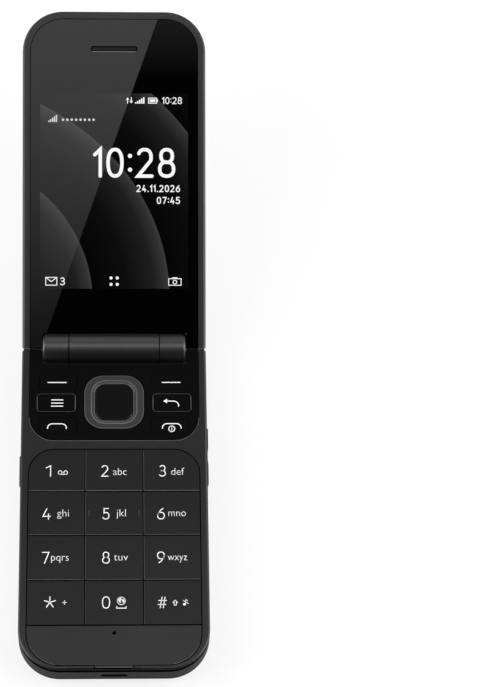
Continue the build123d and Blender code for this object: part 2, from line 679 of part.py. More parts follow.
with BuildPart() as camera_window:
    with BuildSketch(floor(0.1)):
        with Locations((CAMERA[0], at(CAMERA[1]))):
            Circle(4.2)
    extrude(amount=0.55)
save(camera_window.part, "camera_window")

with BuildPart() as vibration_motor:
    with BuildSketch(floor(POCKET_FLOOR)):
        with Locations((-20.0, at(25.2))):
            Circle(3.6)
    extrude(amount=BOARD_SEAT - POCKET_FLOOR)
save(vibration_motor.part, "vibration_motor")

SOCKET_DEPTH = 5.0
SOCKET_BOTTOM = USB_Z - USB_HEIGHT / 2 - 0.3
SOCKET_TOP = BOARD_SEAT - RUNNING
with BuildPart() as usb_socket:
    with BuildSketch(FAR_WALL.offset(-WALL)):
        with Locations((0, (SOCKET_BOTTOM + SOCKET_TOP) / 2)):
            Rectangle(USB_WIDTH, SOCKET_TOP - SOCKET_BOTTOM)
    extrude(amount=-SOCKET_DEPTH)
    with BuildSketch(FAR_WALL.offset(-WALL)):
        with Locations((0, USB_Z)):
            Rectangle(USB_WIDTH - 0.6, USB_HEIGHT)
    extrude(amount=-SOCKET_DEPTH + 0.4, mode=Mode.SUBTRACT)
    with BuildSketch(FAR_WALL.offset(-WALL - 0.6)):  # contact tongue
        with Locations((0, USB_Z + 0.25)):
            Rectangle(3.7, 0.6)
    extrude(amount=-SOCKET_DEPTH + 0.6)
save(usb_socket.part, "usb_socket")

with BuildPart() as microphone:
    with BuildSketch(floor(FRAME_BOTTOM)):
        add(mic_plan(3.2, 2.2))
    extrude(amount=1.0)
save(microphone.part, "microphone")

with BuildPart() as side_switches:
    for side, along, plunger in ((1, 28.5, 0.48), (1, 37.5, 0.48), (-1, 37.5, 0.25)):
        with BuildSketch(floor(SIDE_KEY_Z - 1.1)):
            with Locations((side * (SIDE_KEY_IN - 1.2), at(along))):
                Rectangle(1.2, 3.4)
        extrude(amount=BOARD_SEAT - SIDE_KEY_Z + 1.1)
        with BuildSketch(Plane.YZ.offset(side * (SIDE_KEY_IN - 0.6))):
            with Locations((at(along), SIDE_KEY_Z)):
                Rectangle(1.2, 1.2)
        extrude(amount=side * plunger)
save(side_switches.part, "side_switches")

with BuildPart() as housing_screws:
    with BuildSketch(floor(HOUSING_BOTTOM + HEAD_DEPTH - 0.8)):
        add(studs(SCREW_PLACES, HEAD_R))
    extrude(amount=0.8)
    with BuildSketch(floor(HOUSING_BOTTOM + HEAD_DEPTH)):
        add(studs(SCREW_PLACES, SCREW_R))
    extrude(amount=KEYBOARD_SEAT + 0.9 - HOUSING_BOTTOM - HEAD_DEPTH)
save(housing_screws.part, "housing_screws")

# ================================================================ the hinge
with BuildPart() as hinge_shaft:
    with BuildSketch(BARREL.offset(-BARREL_HALF + CAP_T)):
        Circle(SHAFT_R)
    extrude(amount=SHAFT_LENGTH)
save(hinge_shaft.part, "hinge_shaft")

with BuildPart() as hinge_tube:
    with BuildSketch(BARREL.offset(BARREL_HALF - CAP_T)):
        Circle(TUBE_R)
        Circle(TUBE_R - 0.6, mode=Mode.SUBTRACT)
    extrude(amount=-TUBE_LENGTH)
save(hinge_tube.part, "hinge_tube")

with BuildPart() as hinge_caps:
    for start in (-BARREL_HALF, BARREL_HALF - CAP_T):
        with BuildSketch(BARREL.offset(start)):
            Circle(CAP_R)
        extrude(amount=CAP_T)
save(hinge_caps.part, "hinge_caps")

with BuildPart() as hinge_cartridge:
    with BuildSketch(BARREL.offset(-CENTRE_HALF + 0.2)):
        Circle(BORE_R - RUNNING)
        Circle(SHAFT_R + RUNNING, mode=Mode.SUBTRACT)
    extrude(amount=CARTRIDGE_LENGTH)
    # the two lobes of the cam that holds the lid open or shut
    with BuildSketch(BARREL.offset(-CENTRE_HALF + 0.2)):
        Rectangle(1.2, 2 * BORE_R)
        Circle(SHAFT_R + RUNNING, mode=Mode.SUBTRACT)
    extrude(amount=0.8, mode=Mode.SUBTRACT)
save(hinge_cartridge.part, "hinge_cartridge")

with BuildPart() as hinge_flex:
    for start, length, outer, inner in (
        (FLEX_START, 4.2, 2.7, 2.4),  # the turns beside the bearing
        (FLEX_START + 3.9, 0.3, 2.7, 1.1),
        (FLEX_START + 3.9, 12.0, 1.4, 1.1),  # the roll that runs through it
    ):
        with BuildSketch(BARREL.offset(start)):
            RegularPolygon(outer, 12)
            RegularPolygon(inner, 12, mode=Mode.SUBTRACT)
        extrude(amount=length)
save(hinge_flex.part, "hinge_flex")

# ================================================================ the lid
SCREEN_MIDDLE = (17.9 + 76.2) / 2
SCREEN_MODULE = (47.0, 62.0)
EAR_ALONG = 89.6
EAR_SLOT = (14.0, 1.5)
WINDOW_SEAT = WINDOW_TOP - WINDOW_T
GLASS_END = 55.65
GLASS_HALF = 26.1
GLASS_CORNER = (6.6, 8.4)
OUTER_MIDDLE = 27.0
OUTER_MODULE = (27.0, 29.0)

with BuildPart() as lid_frame:
    add(lid_form.part)
    split(bisect_by=lid_level(LID_PARTING), keep=Keep.TOP)
    with BuildSketch(lid_level(WINDOW_SEAT)):
        add(half_plan(-3, WINDOW_END, FACE_HALF, CORNER_R - RIM))
    extrude(amount=LID_T, mode=Mode.SUBTRACT)
    with BuildSketch(lid_level(LID_PARTING)):  # windows for the screen and the earpiece
        with Locations((0, SCREEN_MIDDLE)):
            Rectangle(SCREEN_MODULE[0] + 0.4, SCREEN_MODULE[1] + 0.4)
        with Locations((0, EAR_ALONG)):
            Rectangle(13.4, 6.4)
    extrude(amount=LID_T, mode=Mode.SUBTRACT)
    for start in (-BARREL_HALF - KNUCKLE_GAP, CENTRE_HALF):
        add(barrel(start, start + BARREL_HALF + KNUCKLE_GAP - CENTRE_HALF), mode=Mode.SUBTRACT)
    add(barrel(-CENTRE_HALF, CENTRE_HALF, BARREL_R))
    add(barrel(-CENTRE_HALF, TUBE_START, BORE_R), mode=Mode.SUBTRACT)
    add(barrel(TUBE_START, CENTRE_HALF, TUBE_R + RUNNING), mode=Mode.SUBTRACT)
save(lid_frame.part, "lid_frame")


def glass_plan(half_width, end, corner):
    """Plan of the outer window: square at the hinge end, quarter ellipses at the other."""
    dx, dy = corner
    inner = half_width - dx
    with BuildSketch() as plan:
        with BuildLine():
            Polyline((-half_width, end - dy), (-half_width, -3), (half_width, -3))
            Line((half_width, -3), (half_width, end - dy))
            EllipticalCenterArc((inner, end - dy), dx, dy, 0, arc_size=90)
            Line((inner, end), (-inner, end))
            EllipticalCenterArc((-inner, end - dy), dx, dy, 90, arc_size=90)
        make_face()
    return plan.sketch


def glass_form(half_width, end, corner):
    """The curved window, or its seat: the lid's own outside, one thickness deep."""
    with BuildPart() as glass:
        with BuildSketch(lid_level(BACK_W - 1)):
            add(glass_plan(half_width, end, corner))
        extrude(amount=-BACK_W - 4.1 + 1)
        add(lid_form.part, mode=Mode.INTERSECT)
        with BuildSketch(LID_SECTION.offset(5)) as inside:
            with Locations((0, BACK_W + GLASS_T + 5)):
                Rectangle(WIDTH - 2 * GLASS_T, 10)
            fillet(inside.vertices().group_by(Axis.Y)[0], LID_BACK_R - GLASS_T)
        extrude(amount=-LID_LENGTH, mode=Mode.SUBTRACT)
    return glass.part


save(glass_form(GLASS_HALF, GLASS_END, GLASS_CORNER), "outer_window")

LID_WALL = 2.4
LID_FLOOR = -5.0
with BuildPart() as lid_inside:
    with BuildSketch(lid_level(LID_PARTING)):
        add(half_plan(6.5, 96.0, WIDTH / 2 - LID_WALL, 9.0))
    extrude(amount=LID_FLOOR - LID_PARTING)
    chamfer(lid_inside.faces().sort_by(LID_UP)[0].edges(), 1.6)

with BuildPart() as lid_back_cover:
    add(lid_form.part)
    split(bisect_by=lid_level(LID_PARTING), keep=Keep.BOTTOM)
    add(lid_inside.part, mode=Mode.SUBTRACT)
    corner = (GLASS_CORNER[0] + FIT, GLASS_CORNER[1] + FIT)
    add(glass_form(GLASS_HALF + FIT, GLASS_END + FIT, corner), mode=Mode.SUBTRACT)
    add(barrel(-BARREL_HALF - KNUCKLE_GAP, BARREL_HALF + KNUCKLE_GAP), mode=Mode.SUBTRACT)
    with BuildSketch(lid_level(BACK_W + GLASS_T)):
        with Locations((0, OUTER_MIDDLE)):
            Rectangle(OUTER_MODULE[0] + 0.4, OUTER_MODULE[1] + 0.4)
    extrude(amount=LID_T / 2, mode=Mode.SUBTRACT)
save(lid_back_cover.part, "lid_back_cover")

with BuildPart() as inner_window:
    with BuildSketch(lid_level(WINDOW_SEAT)):
        add(half_plan(SEAM / 2 + FIT, WINDOW_END - FIT, FACE_HALF - FIT, CORNER_R - RIM - FIT))
        with Locations((0, EAR_ALONG)):
            SlotOverall(*EAR_SLOT, mode=Mode.SUBTRACT)
    extrude(amount=WINDOW_T)
    add(barrel(-BARREL_HALF - KNUCKLE_GAP, BARREL_HALF + KNUCKLE_GAP, POCKET_R + 0.05), mode=Mode.SUBTRACT)
    top = inner_window.faces().sort_by(LID_UP)[-1]
    chamfer(top.outer_wire().edges(), 0.12)
save(inner_window.part, "inner_window")

with BuildPart() as earpiece_mesh:
    with BuildSketch(lid_level(WINDOW_SEAT)):
        with Locations((0, EAR_ALONG)):
            SlotOverall(EAR_SLOT[0] - 0.1, EAR_SLOT[1] - 0.1)
    extrude(amount=WINDOW_T - 0.25)
save(earpiece_mesh.part, "earpiece_mesh")

with BuildPart() as earpiece:
    with BuildSketch(lid_level(WINDOW_SEAT)):
        with Locations((0, EAR_ALONG)):
            Rectangle(13.0, 6.0)
    extrude(amount=-1.6)
save(earpiece.part, "earpiece")

with BuildPart() as main_display:
    with BuildSketch(lid_level(WINDOW_SEAT)):
        with Locations((0, SCREEN_MIDDLE)):
            Rectangle(*SCREEN_MODULE)
    extrude(amount=-1.6)
save(main_display.part, "main_display")

with BuildPart() as lid_chassis:
    with BuildSketch(lid_level(-2.95)):
        add(half_plan(7.0, 84.0, WIDTH / 2 - LID_WALL - 0.3))
        with Locations((0, 14.0)):  # where the ribbon passes to the board
            Rectangle(18.0, 3.0, mode=Mode.SUBTRACT)
    extrude(amount=-0.5)
save(lid_chassis.part, "lid_chassis")

with BuildPart() as lid_board:
    with BuildSketch(lid_level(-3.45)):
        add(half_plan(11.0, 80.0, 21.0))
        with Locations((0, 14.0)):
            Rectangle(18.0, 3.0, mode=Mode.SUBTRACT)
    extrude(amount=-0.6)
    with BuildSketch(lid_level(-4.05)):  # the two display connectors
        with Locations((-12.0, 60.0), (12.0, 60.0)):
            Rectangle(9.0, 2.5)
    extrude(amount=-0.7)
save(lid_board.part, "lid_board")

with BuildPart() as outer_display:
    with BuildSketch(lid_level(BACK_W + GLASS_T)):
        with Locations((0, OUTER_MIDDLE)):
            Rectangle(*OUTER_MODULE)
    extrude(amount=1.3)
save(outer_display.part, "outer_display")

with BuildPart() as lid_magnet:
    with BuildSketch(lid_level(LID_PARTING)):
        with Locations((-18.0, 90.0)):
            Rectangle(5.0, 3.0)
    extrude(amount=-1.2)
save(lid_magnet.part, "lid_magnet")
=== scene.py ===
# %% [markdown]
# A folding phone, open and lying on its back.
# The CAD model gives every part's shape and place. This lesson dresses it: fine finishes for
# the plastics and the glass, pictures behind the two windows, and the printed legends of
# the keys. It begins with the frame, because every later size is worked out from it.
# %% Load the frame
import json
from math import cos, pi, radians, sin, tau

import bmesh
import bpy
from mathutils import Matrix, Vector

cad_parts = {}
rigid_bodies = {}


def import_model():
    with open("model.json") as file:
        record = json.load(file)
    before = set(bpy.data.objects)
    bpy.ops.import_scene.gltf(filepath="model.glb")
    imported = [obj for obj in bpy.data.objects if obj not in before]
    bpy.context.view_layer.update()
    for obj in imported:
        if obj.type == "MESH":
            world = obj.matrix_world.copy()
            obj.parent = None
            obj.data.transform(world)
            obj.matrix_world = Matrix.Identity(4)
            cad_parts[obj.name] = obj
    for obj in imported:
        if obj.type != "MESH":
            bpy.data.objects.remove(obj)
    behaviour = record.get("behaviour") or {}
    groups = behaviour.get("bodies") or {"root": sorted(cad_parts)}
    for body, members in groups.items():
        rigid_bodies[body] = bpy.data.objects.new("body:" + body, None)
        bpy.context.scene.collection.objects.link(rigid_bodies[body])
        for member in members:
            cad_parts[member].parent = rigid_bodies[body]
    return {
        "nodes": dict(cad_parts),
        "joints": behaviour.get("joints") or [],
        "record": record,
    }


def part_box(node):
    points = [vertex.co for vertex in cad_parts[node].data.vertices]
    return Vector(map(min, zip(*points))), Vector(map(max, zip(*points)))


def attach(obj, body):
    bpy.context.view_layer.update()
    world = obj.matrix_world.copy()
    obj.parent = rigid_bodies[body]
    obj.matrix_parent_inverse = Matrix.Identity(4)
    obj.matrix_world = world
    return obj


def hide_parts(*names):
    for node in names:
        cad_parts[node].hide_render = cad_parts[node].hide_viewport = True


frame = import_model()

bpy.context.view_layer.update()
nodes = frame["nodes"]
MM = 0.001

# %% [markdown]
# Two drawing planes carry everything that is printed or shown. The base's plane is level.
# The lid's plane is turned about the hinge axis, so its tilt comes from the hinge's own
# range: the lid would be flat on the keys at the end of it, and in line with them at half a turn.
# %% Drawing planes
hinge = next(joint for joint in frame["joints"] if joint["name"] == "lid_hinge")
HINGE = Vector(hinge["pos_m"])
TILT = radians(180 - hinge["range_deg"][1])
LID_Y = Vector((0, cos(TILT), sin(TILT)))
LID_Z = Vector((0, -sin(TILT), cos(TILT)))


def on_base(x, along, height):
    """A point over the base: millimetres from the middle, from the hinge axis, and up from the rest."""
    return Vector((x * MM, HINGE.y - along * MM, height * MM))


def on_lid(x, along, height):
    """A point over the lid: from the middle, from the hinge axis, and out of the inner face."""
    return HINGE + Vector((x * MM, 0, 0)) + LID_Y * along * MM + LID_Z * height * MM


KEY_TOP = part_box("key_1")[1].z / MM
FASCIA_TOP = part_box("fascia_panel")[1].z / MM
FACE_TOP = FASCIA_TOP + 0.1  # the frame stands a little proud of the fascia
print("tilt of the lid:", round(TILT * 180 / pi, 2), "key tops at", round(KEY_TOP, 2))

# %% [markdown]
# The camera looks down at the keys and squarely at the lid. It stands 83 cm from the hinge
# and is turned a little to the right, so the phone stays in the left of the picture, with no
# lens shift. A long lens keeps the two halves nearly parallel.
# %% Camera
ELEVATION = radians(64)
DISTANCE = 0.830
RISE = 0.0016
YAW = radians(2.63)
FOCAL_IN_HEIGHTS = 2794 / 687  # focal length over the picture's height
back = Vector((0, -cos(ELEVATION), sin(ELEVATION)))
up = Vector((0, sin(ELEVATION), cos(ELEVATION)))

lens = bpy.data.cameras.new("studio_camera")
lens.sensor_width = 36
lens.lens = 36 * FOCAL_IN_HEIGHTS
lens.clip_start = 0.01
camera = bpy.data.objects.new("studio_camera", lens)
bpy.context.scene.collection.objects.link(camera)
camera.location = HINGE + back * DISTANCE + up * RISE
aim = Matrix((Vector((1, 0, 0)), up, back)).transposed()
camera.rotation_euler = (aim @ Matrix.Rotation(-YAW, 3, "Y")).to_euler()
bpy.context.scene.camera = camera
bpy.context.scene.view_settings.view_transform = "Standard"
print("camera at", [round(value, 3) for value in camera.location])

# %% [markdown]
# A few helpers keep the later cells short. Every object's mesh is made in world coordinates, so
# the object itself stays at the origin. Then the same coordinates serve the textures of all.
# %% Helpers for objects
def link(obj):
    """Puts an object in the scene."""
    bpy.context.scene.collection.objects.link(obj)
    return obj


def mesh_object(name, points, faces):
    """An object at the origin with its place in its mesh."""
    mesh = bpy.data.meshes.new(name)
    mesh.from_pydata([tuple(point) for point in points], [], faces)
    mesh.update()
    return link(bpy.data.objects.new(name, mesh))


def face_outwards(mesh):
    """Turns all the faces of a closed mesh outwards."""
    work = bmesh.new()
    work.from_mesh(mesh)
    bmesh.ops.recalc_face_normals(work, faces=work.faces)
    work.to_mesh(mesh)
    work.free()


def grey(value):
    """A neutral colour."""
    return (value, value, value)


print("helpers: link, mesh_object, face_outwards, grey")

# %% [markdown]
# A finish is a tree of nodes, and a node's input is either typed in or wired to another node's
# output. So `add_node` takes both: a value is typed in, and a socket is wired. Every finish
# below is built with it.
# %% Helpers for nodes
def new_material(name):
    """A new material, its node tree and its Principled shader."""
    made = bpy.data.materials.new(name)
    made.use_nodes = True
    return made, made.node_tree, made.node_tree.nodes["Principled BSDF"]


def add_node(tree, kind, inputs=None, **settings):
    """A node with its settings made, and its inputs given values or wired to sockets."""
    node = tree.nodes.new(kind)
    for name, value in settings.items():
        setattr(node, name, value)
    for name, value in (inputs or {}).items():
        if isinstance(value, bpy.types.NodeSocket):
            tree.links.new(value, node.inputs[name])
        else:
            node.inputs[name].default_value = value
    return node


def math_of(tree, operation, first, second=0):
    """The result of one sum, product or comparison."""
    return add_node(tree, "ShaderNodeMath", {0: first, 1: second}, operation=operation).outputs["Value"]


def mixed(tree, factor, first, second, kind="RGBA", blend="MIX"):
    """Two colours or two values, mixed."""
    inputs = {"Factor": factor, "A": first, "B": second}
    return add_node(tree, "ShaderNodeMix", inputs, data_type=kind, blend_type=blend).outputs["Result"]


def ramp_of(tree, source, stops):
    """A colour ramp in greys, from (position, grey) stops."""
    ramp = add_node(tree, "ShaderNodeValToRGB", {"Fac": source})
    elements = ramp.color_ramp.elements
    while len(elements) < len(stops):
        elements.new(0.5)
    for element, (position, level) in zip(elements, stops):
        element.position = position
        element.color = (level, level, level, 1)
    return ramp.outputs["Color"]


print("helpers: new_material, add_node, math_of, mixed, ramp_of")

# %% [markdown]
# The studio's floor is plain pale paper. Rays that would show the background see it as plain
# white away from the phone, and four fifths white close to it. The last fifth is lit by the
# lamps, and keeps the phone's shadow. Seen from below the floor is clear, so the phone's
# underside can be looked at too.
# %% Studio: floor
FLOOR_HALF = 4.0
FLOOR_TOP = -0.02 * MM  # a hair below the phone, so that the two never share a plane
FLOOR_GREY = 0.9
UNDER_REACH = 0.1 * MM  # rays shorter than this come from the phone's own underside
WHITE_NEAR, WHITE_FAR = 0.8, 1.0  # share of plain white, near the phone and away from it
FADE_START, FADE_END = 0.2, 0.6  # metres from the origin
floor = mesh_object(
    "studio_floor",
    [(x * FLOOR_HALF, y * FLOOR_HALF, FLOOR_TOP) for x, y in ((-1, -1), (1, -1), (1, 1), (-1, 1))],
    [(0, 1, 2, 3)],
)
floor_paper, tree, shader = new_material("floor_paper")
shader.inputs["Base Color"].default_value = (*grey(FLOOR_GREY), 1)
shader.inputs["Roughness"].default_value = 0.9
shader.inputs["Specular IOR Level"].default_value = 0.1
path = add_node(tree, "ShaderNodeLightPath").outputs
reflected = math_of(tree, "MAXIMUM", path["Is Glossy Ray"], path["Is Transmission Ray"])
seen = math_of(tree, "MAXIMUM", path["Is Camera Ray"], reflected)
place = add_node(tree, "ShaderNodeTexCoord").outputs["Object"]
away = add_node(tree, "ShaderNodeVectorMath", {0: place}, operation="LENGTH").outputs["Value"]
fade = add_node(tree, "ShaderNodeMapRange", {
    "Value": away, "From Min": FADE_START, "From Max": FADE_END, "To Min": WHITE_NEAR, "To Max": WHITE_FAR,
})
white = math_of(tree, "MULTIPLY", seen, fade.outputs["Result"])
glow = add_node(tree, "ShaderNodeEmission").outputs["Emission"]
paper = add_node(tree, "ShaderNodeMixShader", {0: white, 1: shader.outputs["BSDF"], 2: glow}).outputs["Shader"]
behind = add_node(tree, "ShaderNodeNewGeometry").outputs["Backfacing"]
clear = math_of(tree, "MAXIMUM", behind, math_of(tree, "LESS_THAN", path["Ray Length"], UNDER_REACH))
nothing = add_node(tree, "ShaderNodeBsdfTransparent").outputs["BSDF"]
surface = add_node(tree, "ShaderNodeMixShader", {0: clear, 1: paper, 2: nothing}).outputs["Shader"]
tree.links.new(surface, tree.nodes["Material Output"].inputs["Surface"])
floor.data.materials.append(floor_paper)
print("floor", FLOOR_HALF * 2, "m wide")

# %% [markdown]
# The world is bright near the horizon and dark overhead, so that polished black faces stay
# black while every edge finds something pale to reflect. One ramp runs over the phone from
# behind to before it, and one runs out to the sides. What is seen directly, or through clear
# parts, is plain white.
# %% Studio: world
SKY_OVER = [  # from the horizon behind the phone, over the top, to the horizon before it
    (0.0, 0.5), (0.1, 0.7), (0.18, 1.0), (0.25, 1.1), (0.33, 0.05), (0.42, 0.1), (0.5, 0.2), (0.56, 0.01), (1.0, 0.01),
]
SKY_SIDES = [(0.55, 0.0), (0.85, 0.6), (1.0, 1.0)]
world = bpy.data.worlds.new("studio_world")
bpy.context.scene.world = world
world.use_nodes = True
tree = world.node_tree
direction = add_node(tree, "ShaderNodeTexCoord").outputs["Generated"]
parts = add_node(tree, "ShaderNodeSeparateXYZ", {"Vector": direction}).outputs
over = math_of(tree, "DIVIDE", math_of(tree, "ARCTAN2", parts["Z"], parts["Y"]), pi)
sideways = math_of(tree, "ABSOLUTE", parts["X"])
sky = mixed(tree, 1, ramp_of(tree, over, SKY_OVER), ramp_of(tree, sideways, SKY_SIDES), blend="ADD")
path = add_node(tree, "ShaderNodeLightPath").outputs
white = math_of(tree, "MAXIMUM", path["Is Camera Ray"], path["Is Transmission Ray"])
tree.links.new(mixed(tree, white, sky, (1, 1, 1, 1)), tree.nodes["Background"].inputs["Color"])
print("sky stops", SKY_OVER)

# %% [markdown]
# Three soft boxes. The one overhead gives the barrel of the hinge its long highlight and lets
# the keys lighten towards the near end. The two at the sides draw the phone's long edges.
# A lamp's power is worked out from the brightness that its face should have.
# %% Studio: lamps
def soft_box(name, place, target, width, length, brightness):
    """A rectangular lamp whose face has the given brightness."""
    light = bpy.data.lights.new(name, "AREA")
    light.shape = "RECTANGLE"
    light.size, light.size_y = width, length
    light.energy = brightness * pi * width * length
    lamp = link(bpy.data.objects.new(name, light))
    lamp.location = place
    lamp.rotation_euler = (Vector(target) - Vector(place)).to_track_quat("-Z", "Y").to_euler()
    return lamp


soft_box("overhead_box", (0, 0.09, 1.1), (0, 0.09, 0), 0.9, 0.28, 2.5)
soft_box("left_box", (-1.0, 0.0, 0.75), (0, 0.02, 0), 0.8, 1.2, 4.0)
soft_box("right_box", (1.0, 0.0, 0.75), (0, 0.02, 0), 0.8, 1.2, 4.0)

# %% [markdown]
# The long reflection across the inner window comes from a real card. What a mirror shows a
# camera is what the camera's own image behind the mirror could see. So the card is laid out
# from that image: four points on the window are carried on along its lines of sight. The
# card's slanting side draws the slanting line, and its face fades towards the hinge.
# %% Studio: reflection card
WINDOW_FACE = -0.25  # the glass's outer face, out from the hinge axis
CARD_REACH = 2.6  # how many times as far as the window the card is, seen in the mirror
MIRROR_ALONG = 50  # any point of the window gives the mirror's plane
mirror_point = on_lid(0, MIRROR_ALONG, WINDOW_FACE)
image = camera.location - 2 * (camera.location - mirror_point).dot(LID_Z) * LID_Z
CARD_ON_WINDOW = [(-40, 116), (19.1, 116), (-25.9, -12), (-40, -12)]  # x and along, in order
CARD_FADE = [(0.0, 1.0), (0.35, 0.75), (0.62, 0.42), (0.85, 0.16), (1.0, 0.1)]
SHEET_ON_WINDOW = [(19.2, 116), (40, 116), (40, 80), (6.5, 80)]  # a fainter sheet beside it
SHEET_FADE = [(0.0, 1.0), (0.5, 0.8), (1.0, 0.0)]


def reflected_card(name, outline, stops, strength, down=None):
    """A glowing card that only reflections show, laid out by where it appears on the window."""
    corners = [image + (on_lid(x, along, WINDOW_FACE) - image) * CARD_REACH for x, along in outline]
    card = mesh_object(name, corners, [(0, 1, 2, 3)])
    made, tree, shader = new_material(name + "_light")
    tree.nodes.remove(shader)
    if down is None:  # the fade runs down the card's own edge
        down = (corners[3] - corners[0]).normalized()
    place = add_node(tree, "ShaderNodeTexCoord").outputs["Object"]
    along_card = add_node(tree, "ShaderNodeVectorMath", {0: place, 1: down}, operation="DOT_PRODUCT")
    fade = add_node(tree, "ShaderNodeMapRange", {
        "Value": along_card.outputs["Value"], "From Min": corners[0].dot(down), "From Max": corners[3].dot(down),
    })
    shade = ramp_of(tree, fade.outputs["Result"], stops)
    glow = add_node(tree, "ShaderNodeEmission", {"Color": shade, "Strength": strength})
    tree.links.new(glow.outputs["Emission"], tree.nodes["Material Output"].inputs["Surface"])
    card.data.materials.append(made)
    card.visible_camera = False
    card.visible_diffuse = False
    card.visible_shadow = False


reflected_card("reflection_card", CARD_ON_WINDOW, CARD_FADE, 1.35)
reflected_card("reflection_sheet", SHEET_ON_WINDOW, SHEET_FADE, 0.3, down=-LID_Y)
print("cards: one bright, one faint")

# %% [markdown]
# Moulded plastic is never one flat colour: the tool leaves a fine grain, and the shade and the
# gloss drift slowly over a face. One node group gives both effects, and each finish
# uses it at its own scale. The group puts out a height for a Bump node and a slow mask.
# %% Shared effects: moulded grain
def new_group(name, numbers, outputs):
    """A shader node group with a Coordinates input, number inputs and number outputs."""
    group = bpy.data.node_groups.new(name, "ShaderNodeTree")
    group.interface.new_socket("Coordinates", in_out="INPUT", socket_type="NodeSocketVector")
    for label, value in numbers.items():
        socket = group.interface.new_socket(label, in_out="INPUT", socket_type="NodeSocketFloat")
        socket.default_value = value
    for label in outputs:
        group.interface.new_socket(label, in_out="OUTPUT", socket_type="NodeSocketFloat")
    return group, group.nodes.new("NodeGroupInput"), group.nodes.new("NodeGroupOutput")


grain_group, taken, given = new_group(
    "moulded_grain", {"Grain Size": 6000, "Drift Size": 25}, ["Height", "Drift"]
)
for size, detail, output in (("Grain Size", 2.0, "Height"), ("Drift Size", 3.0, "Drift")):
    noise = add_node(grain_group, "ShaderNodeTexNoise", {
        "Vector": taken.outputs["Coordinates"], "Scale": taken.outputs[size], "Detail": detail,
    })
    grain_group.links.new(noise.outputs["Fac"], given.inputs[output])
print("group:", grain_group.name)

# %% [markdown]
# Brushed and rolled metals show fine lines along one direction. The second group stretches the
# same noise along X, and gives a height and a streak mask.
# %% Shared effects: brushed lines
brushed_group, taken, given = new_group("brushed_lines", {"Line Size": 3000}, ["Height", "Streak"])
STRETCH = (0.03, 1, 1)  # a line is about thirty times as long as it is wide
lengthened = add_node(
    brushed_group, "ShaderNodeVectorMath", {0: taken.outputs["Coordinates"], 1: STRETCH}, operation="MULTIPLY"
)
noise = add_node(brushed_group, "ShaderNodeTexNoise", {
    "Vector": lengthened.outputs["Vector"], "Scale": taken.outputs["Line Size"],
})
for output in ("Height", "Streak"):
    brushed_group.links.new(noise.outputs["Fac"], given.inputs[output])
print("group:", brushed_group.name)

# %% [markdown]
# Each finish is a Principled shader with its constants set on its own sockets. Colour and
# roughness drift between two close values, and the grain goes to a Bump node. Plastics and
# paints take the grain, metals take the lines, and the rest is shared by both.
# %% Kinds of finish
BUMP_REACH = 0.02 * MM  # how deep the grain is cut


def spread(tree, mask, low, high):
    """A mask turned into a value between two limits."""
    return add_node(tree, "ShaderNodeMapRange", {
        "Value": mask, "From Min": 0.3, "From Max": 0.7, "To Min": low, "To Max": high,
    }).outputs["Result"]


def textured(name, group, sizes, mask, shades, roughness, depth):
    """A material whose shade and roughness follow a group's mask, and whose bump is its height."""
    made, tree, shader = new_material(name)
    place = add_node(tree, "ShaderNodeTexCoord").outputs["Object"]
    effect = add_node(tree, "ShaderNodeGroup", {"Coordinates": place, **sizes}, node_tree=group).outputs
    dark, light = shades
    colour = mixed(tree, spread(tree, effect[mask], 0, 1), (*dark, 1), (*light, 1))
    tree.links.new(colour, shader.inputs["Base Color"])
    tree.links.new(spread(tree, effect[mask], *roughness), shader.inputs["Roughness"])
    if depth:
        bump = add_node(tree, "ShaderNodeBump", {
            "Strength": depth, "Distance": BUMP_REACH, "Height": effect["Height"],
        })
        tree.links.new(bump.outputs["Normal"], shader.inputs["Normal"])
    return made, shader


def grained(name, dark, light, roughness, grain=6000, drift=25, depth=0.0, specular=0.5):
    """A plastic or paint with a fine grain: two colours and two roughness values."""
    sizes = {"Grain Size": grain, "Drift Size": drift}
    made, shader = textured(name, grain_group, sizes, "Drift", (dark, light), roughness, depth)
    shader.inputs["Specular IOR Level"].default_value = specular
    return made


def brushed(name, dark, light, roughness, lines=3000):
    """A metal with fine lines."""
    sizes = {"Line Size": lines}
    made, shader = textured(name, brushed_group, sizes, "Streak", (dark, light), roughness, 0.2)
    shader.inputs["Metallic"].default_value = 1.0
    return made


print("kinds: grained, brushed")

# %% [markdown]
# A phone of this kind is black all over, so its finishes differ mostly in roughness and in how
# much they reflect: a satin frame, a matt shell, gloss panels and soft caps. The values below
# are what tell them apart. A few parts are a shade lighter or darker than their neighbours.
# %% Finishes
SATIN, MATT, GLOSS, CAPS = (0.34, 0.38), (0.42, 0.48), (0.10, 0.13), (0.38, 0.43)  # roughness
FINISHES = {
    "satin_frame": grained("satin_black_frame", grey(0.004), grey(0.006), SATIN, 9000, 20, 0.15, 0.45),
    "matte_shell": grained("matte_black_shell", grey(0.006), grey(0.008), MATT, 5000, 18, 0.35, 0.06),
    "gloss_black": grained("gloss_black_panel", grey(0.001), grey(0.0015), GLOSS, 9000, 30),
    "key_plastic": grained("satin_key_caps", grey(0.003), grey(0.004), CAPS, 7000, 22, 0.25, 0.30),
    "silicone": grained("dark_silicone", grey(0.015), grey(0.022), (0.6, 0.7), 3000, 40, 0.2),
    "circuit_board": grained(
        "green_solder_mask", (0.01, 0.07, 0.035), (0.02, 0.1, 0.05), (0.3, 0.4), 1500, 150, 0.3
    ),
    "black_parts": grained("black_nylon", grey(0.015), grey(0.025), (0.5, 0.6), 4000, 60, 0.3),
    "bright_steel": brushed("rolled_steel", grey(0.45), grey(0.6), (0.28, 0.4)),
    "light_alloy": brushed("light_alloy", grey(0.4), grey(0.52), (0.35, 0.5), 1800),
}
